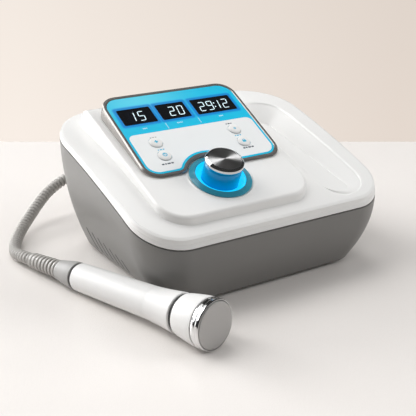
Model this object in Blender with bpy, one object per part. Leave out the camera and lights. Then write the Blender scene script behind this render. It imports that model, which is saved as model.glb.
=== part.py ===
"""Bench-top ultrasound therapy unit: wedge console, raised control panel, big rotary knob,
storage trough, and a hand-held applicator that lies on the table on its corrugated hose.

Millimetres below, metres in the scene. Front is -Y, right is +X, the table is z = 0.
Every piece hangs from the empty "console", whose origin is the middle of the console's footprint.
"""
import bpy
import bmesh
from math import atan, cos, pi, radians, sin, sqrt, tan
from mathutils import Matrix, Vector

MM = 0.001
GAP = 0.3                      # working clearance between separate pieces

# ---- driving dimensions of the console ---------------------------------------------------------
HALF_FRONT, HALF_REAR = 129.0, 131.5      # half widths at the seam
HALF_DEPTH = 105.0
CORNER_FRONT, CORNER_REAR = 40.0, 54.0
SEAM_FRONT, SEAM_RISE, SEAM_BOW = 57.6, 0.314, 0.114
WALL = 2.6
FOOT_HEIGHT = 3.0
TUCK_SIDE, TUCK_FRONT, TUCK_REAR, TUCK_POWER = 27.0, 13.0, 3.0, 2.1   # how far the base tapers in

# ---- tier, panel and knob ----------------------------------------------------------------------
TIER_X, TIER_Y, TIER_CORNER = (-104.0, 48.5), (-91.5, 92.0), 25.0
TIER_FRONT_Z, TIER_SLOPE = 80.68, radians(21.0)
TIER_BACK_Y, TIER_BACK_SLOPE = 64.0, radians(27.0)   # behind this line the tier falls to the deck
PANEL_X, PANEL_Y, PANEL_Z = -24.4, -43.0, 101.6     # middle of the panel's lower edge
PANEL_SLOPE = radians(27.0)
PANEL_HALF, PANEL_LONG, PANEL_CORNER = 71.7, 109.5, 16.5
RIM = 3.8
KNOB_X, KNOB_Y = -31.2, -54.5
NOTCH_RADIUS, NOTCH_BLEND = 28.9, 12.0
NOTCH_AT = (KNOB_X - PANEL_X, (KNOB_Y - PANEL_Y) / cos(PANEL_SLOPE))   # in the panel's plane
DISPLAYS = {"left": (-61.3, -27.4), "centre": (-21.6, 8.8), "right": (16.3, 60.2)}
DISPLAY_Y = (68.6, 90.0)
KEYS = {"upper_left": (-43.7, 41.6), "lower_left": (-43.7, 24.1),
        "upper_right": (40.3, 41.6), "lower_right": (40.3, 24.1)}
KEY_RADIUS = 6.3

# ---- trough for the applicator, on the right of the deck ---------------------------------------
TROUGH_X, TROUGH_Y = (61.0, 109.0), (-95.0, 65.0)
TROUGH_CREASE_X = 91.0                       # the floor dips towards this line, then the wall rises
TROUGH_FLOOR_Z, TROUGH_FLOOR_SLOPE, TROUGH_DIP = 70.4, 0.235, 0.11

# ---- applicator --------------------------------------------------------------------------------
FACE_AT = (-105.8, -164.4, 21.3)
HANDSET_YAW, HANDSET_DIP = radians(16.9), radians(2.95)
HOSE_RADIUS = 5.8
GLAND_X, GLAND_Z = -52.0, 60.0

# ---- rear services -----------------------------------------------------------------------------
PLATE_X, PLATE_Z, PLATE_Y = (-2.0, 80.0), (16.0, 60.0), 98.6
ROCKER_TILT = radians(8.0)                   # at rest the upper half is pressed in: switched on

# The origin of the finished part is the middle of the footprint of console and applicator together.
CONSOLE_AT = (22.7, 31.9)


def clean_scene():
    for obj in list(bpy.data.objects):
        bpy.data.objects.remove(obj, do_unlink=True)


def material(name, colour, roughness, metallic=0.0, alpha=1.0):
    mat = bpy.data.materials.new(name)
    mat.use_nodes = True
    shader = mat.node_tree.nodes["Principled BSDF"]
    shader.inputs["Base Color"].default_value = (*colour, 1.0)
    shader.inputs["Roughness"].default_value = roughness
    shader.inputs["Metallic"].default_value = metallic
    shader.inputs["Alpha"].default_value = alpha
    return mat


# ---- mesh helpers ------------------------------------------------------------------------------
def add_object(name, bm, mat, parent, smooth=True):
    bmesh.ops.remove_doubles(bm, verts=bm.verts, dist=1e-7)
    bmesh.ops.recalc_face_normals(bm, faces=bm.faces)
    mesh = bpy.data.meshes.new(name)
    bm.to_mesh(mesh)
    bm.free()
    obj = bpy.data.objects.new(name, mesh)
    PARTS.objects.link(obj)
    obj.parent = parent
    if mat:
        mesh.materials.append(mat)
    if smooth:
        mesh.shade_smooth()
        mesh.set_sharp_from_angle(angle=radians(32))
    return obj


def loft(name, loops, mat, parent, smooth=True, ring=False, flat_ends=False):
    """Skin equal-length loops of (x, y, z). Open ends get a fan or a flat face; a ring joins up."""
    bm = bmesh.new()
    rows = [[bm.verts.new(Vector(p) * MM) for p in loop] for loop in loops]
    count = len(rows[0])
    pairs = list(zip(rows, rows[1:])) + ([(rows[-1], rows[0])] if ring else [])
    for a, b in pairs:
        for i in range(count):
            j = (i + 1) % count
            bm.faces.new((a[i], a[j], b[j], b[i]))
    if not ring:
        for row in (rows[0], rows[-1]):
            if flat_ends:
                bm.faces.new(row)
                continue
            middle = bm.verts.new(sum((v.co for v in row), Vector()) / count)
            for i in range(count):
                bm.faces.new((row[i], row[(i + 1) % count], middle))
    return add_object(name, bm, mat, parent, smooth)


def turned(name, profile, mat, parent, at=(0, 0, 0), segments=32, smooth=True):
    """Turn a closed (radius, height) profile about local Z. Radius 0 is the axis."""
    bm = bmesh.new()
    rows = []
    for r, z in profile:
        if r == 0:
            rows.append([bm.verts.new(Vector((0, 0, z)) * MM)])
        else:
            turn = [2 * pi * i / segments for i in range(segments)]
            rows.append([bm.verts.new(Vector((r * cos(a), r * sin(a), z)) * MM) for a in turn])
    solid = profile[0][0] == 0 and profile[-1][0] == 0
    for a, b in list(zip(rows, rows[1:])) + ([] if solid else [(rows[-1], rows[0])]):
        for i in range(segments):
            j = (i + 1) % segments
            if len(a) > 1 and len(b) > 1:
                bm.faces.new((a[i], a[j], b[j], b[i]))
            elif len(b) > 1:
                bm.faces.new((a[0], b[j], b[i]))
            elif len(a) > 1:
                bm.faces.new((a[i], a[j], b[0]))
    obj = add_object(name, bm, mat, parent, smooth)
    obj.location = Vector(at) * MM
    return obj


def box(name, x, y, z, mat, parent, bevel=0.6):
    """A block from (x0, x1), (y0, y1), (z0, z1) with softened edges; its origin is its middle."""
    middle = Vector(((x[0] + x[1]) / 2, (y[0] + y[1]) / 2, (z[0] + z[1]) / 2))
    size = Vector((x[1] - x[0], y[1] - y[0], z[1] - z[0]))
    bm = bmesh.new()
    bmesh.ops.create_cube(bm, size=1.0)
    bmesh.ops.scale(bm, vec=size * MM, verts=bm.verts)
    if bevel:
        bmesh.ops.bevel(bm, geom=list(bm.edges), offset=bevel * MM, segments=1, affect="EDGES")
    obj = add_object(name, bm, mat, parent, smooth=False)
    obj.location = middle * MM
    return obj


def prism(name, outline, z, mat, parent, bevel=0.0, smooth=False):
    """Straight prism on a flat outline of (x, y), its top edge softened by one small bevel."""
    z0, z1 = z
    loops = [[(x, y, z0) for x, y in outline]]
    if bevel:
        loops.append([(x, y, z1 - bevel) for x, y in outline])
        loops.append([(x, y, z1) for x, y in shrink(outline, bevel)])
    else:
        loops.append([(x, y, z1) for x, y in outline])
    return loft(name, loops, mat, parent, smooth, flat_ends=True)


def shrink(outline, distance):
    """Move each point of a counter-clockwise outline inward along its corner's bisector."""
    moved = []
    for i, point in enumerate(outline):
        before, here, after = (Vector(p) for p in (outline[i - 1], point, outline[(i + 1) % len(outline)]))
        a, b = (here - before).normalized(), (after - here).normalized()
        normal = Vector((-a.y - b.y, a.x + b.x))
        normal.normalize()
        moved.append(tuple(here + normal * distance / max(0.5, normal.dot(Vector((-a.y, a.x))))))
    return moved


def tool(obj):
    """Turn an object into a cutter or a filler that takes no part in the finished model."""
    for coll in list(obj.users_collection):
        coll.objects.unlink(obj)
    TOOLS.objects.link(obj)
    obj.hide_render = True
    obj.display_type = "WIRE"
    return obj


def boolean(target, others, operation="DIFFERENCE"):
    """Cut away, or join on, one shape or a list of shapes in a single step."""
    others = others if isinstance(others, list) else [others]
    group = bpy.data.collections.new(f"{target.name}_{operation.lower()}")
    TOOLS.children.link(group)
    for other in others:
        group.objects.link(tool(other))
        TOOLS.objects.unlink(other)
    mod = target.modifiers.new(operation.lower(), "BOOLEAN")
    mod.operand_type = "COLLECTION"
    mod.collection = group
    mod.operation = operation
    mod.solver = "EXACT"


def empty(name, at, parent=None, rotation=None):
    obj = bpy.data.objects.new(name, None)
    GUIDES.objects.link(obj)
    obj.parent = parent
    obj.location = Vector(at) * MM
    obj.hide_render = True
    if rotation is not None:
        obj.rotation_mode = "QUATERNION"
        obj.rotation_quaternion = rotation
    return obj


# ---- the console's shape -----------------------------------------------------------------------
def arc(cx, cy, r, start, end, steps):
    turn = [radians(start + (end - start) * i / steps) for i in range(steps + 1)]
    return [(cx + r * cos(a), cy + r * sin(a)) for a in turn]


def plan(side, front=None, rear=None, tighter=None, steps=6, side_steps=5):
    """Console outline, counter-clockwise, drawn in by a distance at the sides, front and rear."""
    front, rear, tighter = (side if v is None else v for v in (front, rear, tighter))
    wf, wr = HALF_FRONT - side, HALF_REAR - side
    yf, yr = -HALF_DEPTH + front, HALF_DEPTH - rear
    rf, rr = max(CORNER_FRONT - tighter, 4.0), max(CORNER_REAR - tighter, 4.0)
    points = arc(wf - rf, yf + rf, rf, -90, 0, steps)
    a, b = points[-1], (wr, yr - rr)
    points += [tuple(Vector(a).lerp(Vector(b), i / side_steps)) for i in range(1, side_steps)]
    points += arc(wr - rr, yr - rr, rr, 0, 90, steps)
    mirror = [(-x, y) for x, y in reversed(points)]
    return points + mirror


def depth_share(y):
    return (y + HALF_DEPTH) / (2 * HALF_DEPTH)


def seam_z(y):
    t = depth_share(y)
    return SEAM_FRONT + 2 * HALF_DEPTH * (SEAM_RISE * t + SEAM_BOW * t * (1 - t))


def skirt_height(y):
    return 9.4 - 5.0 * depth_share(y)


def crown(inset, y):
    """Height that the deck gains above the top of its skirt, moving in from the edge."""
    return (2.6 - 1.6 * depth_share(y)) * (1 - (1 - min(inset, 60.0) / 60.0) ** 2)


def deck_z(x, y):
    half = HALF_FRONT + (HALF_REAR - HALF_FRONT) * depth_share(y)
    inset = max(0.0, min(half - abs(x), y + HALF_DEPTH, HALF_DEPTH - y) - 3.4)
    return seam_z(y) + skirt_height(y) + crown(inset, y)


def tier_z(y):
    return TIER_FRONT_Z + (y - TIER_Y[0]) * tan(TIER_SLOPE)


def base_loop(k, extra=0.0, lift=0.0):
    """Outline of the base at share k of its height, moved in by a wall's thickness."""
    tuck = (1 - k) ** TUCK_POWER
    outline = plan(TUCK_SIDE * tuck + extra, TUCK_FRONT * tuck + extra, TUCK_REAR * (1 - k) + extra,
                   13.0 * tuck + extra)
    return [(x, y, FOOT_HEIGHT + lift + (seam_z(y) - FOOT_HEIGHT - lift) * k) for x, y in outline]


def build_lower_casing(mats, console):
    shares = (0.05, 0.14, 0.27, 0.44, 0.64, 0.84, 1.0)
    outer = [base_loop(0.0, 5.0), base_loop(0.012, 1.4)] + [base_loop(k) for k in shares]
    inner = [base_loop(k, WALL, WALL) for k in (1.0, 0.64, 0.27, 0.05)] + [base_loop(0.0, 5.0, WALL)]
    casing = loft("lower_casing", outer + inner, mats["grey"], console)
    post = [(0, FOOT_HEIGHT + 1), (3.4, FOOT_HEIGHT + 1), (3.4, 11.6), (0, 11.6)]
    boolean(casing, [turned("board_post", post, None, console, (x, y, 0), 12) for x, y in BOARD_POSTS], "UNION")
    foot_hole = [(0, 0), (4.3, 0), (4.3, 9), (0, 9)]
    cuts = [turned("foot_hole", foot_hole, None, console, (x, y, 0), 16) for x, y in FOOT_PLACES]
    for side in (-1, 1):
        for i in range(7):
            y, top = 43.3 - 11.0 * i, 33.0 - 1.5 * i
            cuts.append(box("vent_slot", (side * 106 - 22, side * 106 + 22), (y - 1.2, y + 1.2), (9.0, top),
                            None, console, bevel=0))
    (x0, x1), (z0, z1) = PLATE_X, PLATE_Z
    cuts.append(box("plate_window", (x0 + 4, x1 - 4), (90, 112), (z0 + 4, z1 - 4), None, console, 0))
    hole = turned("gland_hole", [(0, 0), (8.0, 0), (8.0, 30), (0, 30)], None, console, (GLAND_X, 85, GLAND_Z), 24)
    hole.rotation_euler = (-pi / 2, 0, 0)
    boolean(casing, cuts + [hole])
    boolean(casing, box("plate_rebate", (x0 - GAP, x1 + GAP), (PLATE_Y - GAP, 112), (z0 - GAP, z1 + GAP),
                        None, console, 0))
    return casing


def deck_loop(inset, rise, lower=0.0):
    return [(x, y, seam_z(y) + rise * skirt_height(y) + crown(max(0.0, inset - lower - 3.4), y) - lower)
            for x, y in plan(inset)]


def tier_outline(grow=0.0):
    (x0, x1), (y0, y1), r = TIER_X, TIER_Y, TIER_CORNER
    x0, x1, y0, y1, r = x0 - grow, x1 + grow, y0 - grow, y1 + grow, r + grow
    return (arc(x1 - r, y0 + r, r, -90, 0, 7) + arc(x1 - r, y1 - r, r, 0, 90, 7)
            + arc(x0 + r, y1 - r, r, 90, 180, 7) + arc(x0 + r, y0 + r, r, 180, 270, 7))


def trough_outline(share, grow=0.0):
    """Trough outline; share 0 is its rim and 1 its floor, which keeps to the left of the rim."""
    x0 = TROUGH_X[0] + 3.0 * share - grow
    x1 = TROUGH_X[1] + (TROUGH_CREASE_X - TROUGH_X[1]) * share + grow
    y0, y1 = TROUGH_Y[0] + 4.0 * share - grow, TROUGH_Y[1] - 16.0 * share + grow
    r = (x1 - x0) / 2 - 0.5
    return (arc(x1 - r, y0 + r, r, -90, 0, 6) + arc(x1 - r, y1 - r, r, 0, 90, 6)
            + arc(x0 + r, y1 - r, r, 90, 180, 6) + arc(x0 + r, y0 + r, r, 180, 270, 6))


def trough_floor(x, y):
    return TROUGH_FLOOR_Z + (y - TROUGH_Y[0]) * TROUGH_FLOOR_SLOPE + (TROUGH_CREASE_X - x) * TROUGH_DIP


def trough_loops(grow, rim):
    """Loops from the rim, which follows the deck, down to the flat floor."""
    loops = [[(x, y, deck_z(x, y) + lift) for x, y in trough_outline(0, grow + wider)] for wider, lift in rim]
    for share in (0.3, 0.65, 1.0):
        loops.append([(x, y, deck_z(x, y) - 1.6 + (trough_floor(x, y) - deck_z(x, y) + 1.6) * share - grow * 0.9)
                      for x, y in trough_outline(share ** 0.85, grow)])
    return loops


def build_upper_casing(mats, console, panel, knob):
    outer = [(0.4, 0.1), (0.0, 0.2), (-0.2, 0.6), (0.5, 0.68), (0.9, 0.86), (2.6, 1.0),
             (8.0, 1.0), (15.0, 1.0), (26.0, 1.0), (40.0, 1.0), (58.0, 1.0)]
    inner = [(58.0, 1.0), (40.0, 1.0), (26.0, 1.0), (15.0, 1.0), (8.0, 1.0), (4.4, 0.9)]
    loops = [deck_loop(i, r) for i, r in reversed(outer)]
    lip = [[(x, y, seam_z(y) + 0.1 * skirt_height(y)) for x, y in plan(3.2)]]
    loops += lip + [deck_loop(i, r, WALL) for i, r in reversed(inner)]
    casing = loft("upper_casing", loops, mats["white"], console)

    def tier(name, grow, z_top, edge):
        levels = [(3.0 + grow, -40.0), (grow, -edge)]
        levels += [(grow - 0.5 * edge, -0.28 * edge), (grow - 1.1 * edge, 0.0)] if edge else []
        block = loft(name, [[(x, y, tier_z(y) + z_top + dz) for x, y in tier_outline(g)]
                            for g, dz in levels], None, console, flat_ends=True)
        fall = box("tier_fall", (-160, 120), (0, 90), (0, 60), None, console, bevel=0)
        hinge = Matrix.Translation(Vector((0, TIER_BACK_Y, tier_z(TIER_BACK_Y) + z_top)) * MM)
        fall.matrix_local = hinge @ Matrix.Rotation(-TIER_BACK_SLOPE, 4, "X") @ Matrix.Translation(
            Vector((-20, 40, 30)) * MM)
        boolean(block, fall)
        return block

    boolean(casing, tier("tier", 0.0, 0.0, 2.6), "UNION")
    boolean(casing, loft("trough_shell", trough_loops(WALL, [(0.0, -1.3)]), None, console), "UNION")
    boolean(casing, tier("tier_inside", -WALL, -WALL, 0.0))
    boolean(casing, loft("trough_space", trough_loops(0.0, [(5.5, 6.0), (2.2, 0.3), (0.7, -0.5), (0.0, -1.7)]),
                         None, console))
    boolean(casing, prism("panel_opening", panel_outline(5.8), (-40, 15), None, panel))
    boolean(casing, turned("knob_opening", [(0, -12), (20.3, -12), (20.3, 8), (0, 8)], None, knob))
    return casing


# ---- panel -------------------------------------------------------------------------------------
def panel_outline(inset=0.0):
    """Rounded panel with a notch for the knob in its lower edge, in the panel's own plane."""
    half, y0, y1 = PANEL_HALF - inset, inset, PANEL_LONG - inset
    r, notch, blend = PANEL_CORNER - inset, NOTCH_RADIUS + inset, NOTCH_BLEND - inset
    high = r + 1.0
    cx, cy = NOTCH_AT
    rise = y0 + blend - cy
    across = sqrt((notch + blend) ** 2 - rise ** 2)
    lean = atan(rise / across) * 180 / pi
    scoop = arc(cx, cy, notch, 180 - lean, lean, 12)
    entry = arc(cx - across, y0 + blend, blend, -90, -lean, 4)
    leave = arc(cx + across, y0 + blend, blend, 180 + lean, 270, 4)
    right = arc(half - r, y0 + r, r, -90, 0, 7) + arc(half - high, y1 - high, high, 0, 90, 7)
    left = [(-x, y) for x, y in reversed(right)]
    return right + left + entry[:-1] + scoop + leave[1:]


def panel_foot(y):
    """Height of the tier's surface below the panel's plane, measured in the panel's frame."""
    return -(PANEL_Z - tier_z(PANEL_Y)) * cos(PANEL_SLOPE) - y * tan(PANEL_SLOPE - TIER_SLOPE)


def build_panel(mats, panel):
    levels = [(0.0, None), (0.0, -0.9), (0.35, -0.2), (1.0, 0.0), (RIM - 0.5, 0.0), (RIM, -0.4),
              (RIM, -1.8), (5.6, -1.8), (5.6, None)]
    loops = [[(x, y, panel_foot(y) + GAP if z is None else z) for x, y in panel_outline(inset)]
             for inset, z in levels]
    loft("panel_housing", loops, mats["silver"], panel, ring=True)

    overlay = prism("panel_overlay", panel_outline(RIM + 0.25), (-1.5, -0.5), mats["cyan"], panel)
    y0, y1 = DISPLAY_Y
    key_hole = [(0, -4), (KEY_RADIUS + GAP, -4), (KEY_RADIUS + GAP, 3), (0, 3)]
    boolean(overlay, [box("window", xs, (y0, y1), (-4, 3), None, panel, 0) for xs in DISPLAYS.values()]
            + [turned("key_hole", key_hole, None, panel, (x, y, 0), 24) for x, y in KEYS.values()])

    for place, (x0, x1) in DISPLAYS.items():
        box(f"display_window_{place}", (x0 + GAP, x1 - GAP), (y0 + GAP, y1 - GAP), (-2.6, -0.3),
            mats["black"], panel, 0.4)
        box(f"digit_module_{place}", (x0 + 1.5, x1 - 1.5), (y0 + 1.5, y1 - 1.5), (-9.6, -3.0),
            mats["black"], panel, 0.4)

    board = prism("display_board", panel_outline(8.0)[:], (-11.6, -10.0), mats["board"], panel)
    boolean(board, turned("board_notch", [(0, -14), (42, -14), (42, -6), (0, -6)], None, panel,
                          (NOTCH_AT[0], -7, 0)))
    for place, (x, y) in KEYS.items():
        r = KEY_RADIUS
        key = [(0, -4.6), (2.2, -4.6), (2.2, -2.9), (r + 1.5, -2.9), (r + 1.5, -2.1), (r, -2.1),
               (r, -0.2), (r - 0.6, 0.5), (r - 2.2, 1.0), (0, 1.2)]
        turned(f"key_{place}", key, mats["white"], panel, (x, y, 0), 18)
        switch = [(0, -9.7), (3.4, -9.7), (3.4, -6.9), (1.7, -6.9), (1.7, -5.9), (0, -5.9)]
        turned(f"key_switch_{place}", switch, mats["black"], panel, (x, y, 0), 12)
    turned("buzzer", [(0, -18), (5, -18), (5, -11.9), (0, -11.9)], mats["black"], panel, (30, 60, 0), 20)


def build_knob(mats, knob, spin):
    ring = [(23.0, 0.25), (28.1, 0.25), (28.4, 0.9), (27.9, 1.7), (24.2, 2.9), (23.0, 2.7)]
    turned("knob_ring", ring, mats["teal"], knob, segments=32)
    bowl = [(4.9, -6.2), (19.9, -6.2), (19.9, 0.25), (22.6, 0.25), (22.6, 2.4), (22.1, 2.6),
            (21.3, 1.2), (20.2, 0.3), (17.8, -0.4), (17.2, -4.2), (4.9, -4.2)]
    turned("knob_bowl", bowl, mats["glow"], knob, segments=32)
    nut = [(4.75, -4.0), (7.0, -4.0), (7.0, -1.9), (4.75, -1.9)]
    turned("encoder_nut", nut, mats["steel"], knob, segments=24)
    body = [(0, -15), (8, -15), (8.3, -14.6), (8.3, -6.5), (4.5, -6.5), (4.5, -1.2), (3.3, -1.2), (3.3, -12), (0, -12)]
    turned("encoder_body", body, mats["steel"], knob, segments=24)

    turned("encoder_shaft", [(0, -11.7), (3.0, -11.7), (3.0, 9.3), (2.6, 9.7), (0, 9.7)], mats["steel"], spin,
           segments=24)
    skirt = [(0, 10.0), (3.15, 10.0), (3.15, 0.5), (6.0, 0.5), (6.0, 8.0), (14.4, 8.0), (14.4, -3.4),
             (16.7, -3.4), (16.9, -3.0), (16.9, 14.9), (0, 14.9)]
    turned("knob_skirt", skirt, mats["blue"], spin, segments=32)
    cap = [(0, 15.2), (15.6, 15.2), (17.1, 16.0), (17.5, 16.8), (17.5, 18.6), (17.2, 19.2), (15.6, 21.0),
           (15.2, 21.0), (0, 20.8)]
    turned("knob_cap", cap, mats["chrome"], spin, segments=32)


# ---- applicator --------------------------------------------------------------------------------
def build_handset(mats, axis):
    """Pieces turned about the applicator's axis, from the radiating face backwards."""
    def piece(name, profile, mat, segments=24):
        return turned(name, profile, mats[mat], axis, segments=segments)

    piece("handset_face", [(0, 0.0), (18.9, 0.15), (19.4, 0.6), (19.4, 3.6), (0, 3.6)], "plate")
    piece("piezo_disc", [(0, 4.0), (12.5, 4.0), (12.5, 6.2), (0, 6.2)], "steel", 24)
    bezel = [(19.7, 0.9), (20.3, 0.7), (20.9, 1.3), (21.0, 2.4), (21.0, 6.6), (20.5, 7.8), (20.2, 9.0), (17.0, 9.0),
             (17.0, 3.9), (19.7, 3.9)]
    piece("handset_bezel", bezel, "chrome")
    head = [(17.2, 9.3), (20.3, 9.3), (20.6, 9.9), (20.4, 13.1), (19.6, 18.8), (18.5, 25.3), (17.6, 30.6),
            (17.0, 32.5), (16.4, 32.8), (12.0, 32.8), (12.0, 31), (15.0, 28.6), (17.0, 18)]
    piece("handset_head", head, "white")
    piece("handset_neck_ring", [(11.0, 33.1), (15.9, 33.1), (15.9, 35.6), (11.0, 35.6)], "rubber")
    grip = [(10.5, 35.9), (16.5, 35.9), (17.0, 36.5), (16.4, 42.2), (15.2, 51.8), (14.2, 64.9), (13.8, 85.2),
            (13.4, 113.5), (12.9, 138.8), (12.6, 156.2), (12.1, 157), (9.5, 157), (10.5, 135.8)]
    piece("handset_grip", grip, "white")
    piece("handset_rear_ring", [(8.5, 157.3), (11.4, 157.3), (11.4, 159), (8.5, 159)], "rubber")
    cuff = [(9.0, 159.3), (12.1, 159.3), (12.4, 159.9), (12.0, 166.5), (10.4, 175), (9.0, 182.5), (8.5, 183.2),
            (6.2, 183.2), (6.2, 176), (9.0, 168)]
    piece("handset_cuff", cuff, "cuff")
    box("handset_board", (-6, 6), (-0.8, 0.8), (56, 116), mats["board"], axis, 0.2)

    boot = [(6.2, 183.6), (8.0, 183.6), (8.4, 184.4), (8.0, 196), (7.4, 212), (7.1, 222.5), (6.2, 222.5)]
    piece("hose_boot", boot, "cuff", 16)


HOSE_ROUTE = [  # centre line in the console's frame: gland, behind the rear left corner, down to the table
    (-52.0, 106.0, 60.0), (-52.0, 119.0, 60.0), (-52.5, 131.0, 59.0), (-57.0, 145.0, 55.2), (-66.0, 156.5, 49.6),
    (-79.0, 164.0, 43.0), (-94.5, 166.5, 36.0), (-109.5, 162.5, 29.0), (-123.5, 153.5, 22.0),
    (-137.5, 141.5, 15.5), (-151.0, 127.5, 10.6), (-162.5, 112.0, 7.5), (-171.0, 96.0, 6.3), (-175.8, 79.0, 6.5)]


def smooth_route(points, per_span=2):
    """Catmull-Rom curve through the points."""
    pts = [Vector(p) for p in points]
    pts = [2 * pts[0] - pts[1]] + pts + [2 * pts[-1] - pts[-2]]
    route = []
    for a, b, c, d in zip(pts, pts[1:], pts[2:], pts[3:]):
        for i in range(per_span):
            t = i / per_span
            route.append(0.5 * (2 * b + (c - a) * t + (2 * a - 5 * b + 4 * c - d) * t ** 2
                                + (3 * b - a - 3 * c + d) * t ** 3))
    return route + [pts[-2]]


def sweep(name, route, radius, mat, parent, segments=12):
    """Round tube along a route, with flat closed ends and no twist."""
    loops, side = [], None
    for i, point in enumerate(route):
        ahead = (route[min(i + 1, len(route) - 1)] - route[max(i - 1, 0)]).normalized()
        side = ahead.orthogonal() if side is None else side - ahead * side.dot(ahead)
        side.normalize()
        up = ahead.cross(side)
        turn = [2 * pi * k / segments for k in range(segments)]
        loops.append([tuple(point + side * radius * cos(a) + up * radius * sin(a)) for a in turn])
    return loft(name, loops, mat, parent)


def build_hose(mats, console, handset_matrix):
    into_boot = [handset_matrix @ Vector((0, 0, s)) for s in (234.0, 218.0, 202.0)]
    route = smooth_route([Vector(p) for p in HOSE_ROUTE] + into_boot)
    sweep("hose", route, HOSE_RADIUS, mats["cuff"], console)
    gland = empty("gland_axis", (GLAND_X, 0, GLAND_Z), console,
                  Vector((0, 1, 0)).to_track_quat("Z", "X"))
    body = [(6.4, 95.0), (7.6, 95.0), (7.6, 105.4), (11.5, 105.4), (11.5, 108.0), (9.6, 109.6),
            (9.0, 112.0), (7.9, 119.0), (7.5, 121.5), (6.4, 121.5)]
    turned("hose_gland", body, mats["cuff"], gland, segments=16)
    turned("gland_nut", [(7.9, 95.5), (12.0, 95.5), (12.0, 99.0), (7.9, 99.0)], mats["black"], gland, segments=16)


# ---- inside and back ---------------------------------------------------------------------------
FOOT_PLACES = [(-70.0, -62.0), (70.0, -62.0), (-72.0, 66.0), (72.0, 66.0)]
BOARD_POSTS = [(-60.0, -56.0), (26.0, -56.0), (-60.0, 44.0), (26.0, 44.0)]


def build_inside(mats, console):
    names = ("front_left", "front_right", "rear_left", "rear_right")
    for name, (x, y) in zip(names, FOOT_PLACES):
        foot = [(0, 0), (8.0, 0), (8.8, 0.8), (9.0, 2.7), (4.0, 2.7), (4.0, 7.0), (0, 7.0)]
        turned(f"foot_{name}", foot, mats["rubber"], console, (x, y, 0), 16)
    box("main_board", (-66, 32), (-62, 50), (11.9, 13.5), mats["board"], console, 0.2)
    box("power_supply", (42, 86), (-52, 30), (6.2, 38.0), mats["steel"], console, 1.0)
    box("drive_transformer", (-52, -22), (-46, -18), (13.8, 36.0), mats["black"], console, 1.0)

    fins = [(-19, 14.0), (19, 14.0)]
    for i in range(6):
        x = 19 - 7.2 * i
        fins += [(x, 36.0), (x - 2.0, 36.0)] + ([(x - 2.0, 18.0), (x - 7.2, 18.0)] if i < 5 else [])
    sink = [[(x, y, z) for x, z in fins] for y in (-6.0, 34.0)]
    bm = bmesh.new()
    for loop in sink:
        bm.faces.new([bm.verts.new(Vector(p) * MM) for p in loop])
    bm.verts.ensure_lookup_table()
    n = len(fins)
    for i in range(n):
        bm.faces.new([bm.verts[j] for j in (i, (i + 1) % n, n + (i + 1) % n, n + i)])
    add_object("heatsink", bm, mats["alloy"], console, smooth=False)

    frame = box("fan_frame", (-86, -72), (-16, 34), (7.5, 57.5), mats["black"], console, 1.0)
    bore = turned("fan_bore", [(0, -7), (23.2, -7), (23.2, 20), (0, 20)], None, console, (-83, 9, 32.5), 32)
    bore.rotation_euler = (0, pi / 2, 0)
    boolean(frame, bore)
    hub = empty("fan_axis", (-79.0, 9.0, 32.5), console, Vector((1, 0, 0)).to_track_quat("Z", "Y"))
    rotor = turned("fan_rotor", [(0, -5.0), (9.0, -5.0), (9.0, 5.0), (0, 5.0)], mats["black"], hub, segments=24)
    for i in range(7):
        blade = box("fan_blade", (7.0, 22.0), (-0.7, 0.7), (-4.0, 4.0), None, hub, 0)
        turn = Matrix.Rotation(2 * pi * i / 7, 4, "Z") @ Matrix.Translation((14.5 * MM, 0, 0))
        blade.matrix_local = turn @ Matrix.Rotation(radians(32), 4, "X")
        boolean(rotor, blade, "UNION")
    # the frame's back wall carries the rotor's motor boss on four arms
    spider = turned("fan_boss", [(0, -12.4), (8.0, -12.4), (8.0, -5.5), (0, -5.5)], None, hub, segments=24)
    for i in range(4):
        arm = box("fan_arm", (6.0, 24.5), (-1.2, 1.2), (-6.9, -5.6), None, hub, 0)
        arm.matrix_local = Matrix.Rotation(pi / 4 + pi / 2 * i, 4, "Z") @ Matrix.Translation((15.2 * MM, 0, -6.2 * MM))
        boolean(frame, arm, "UNION")
    boolean(frame, spider, "UNION")


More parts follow.
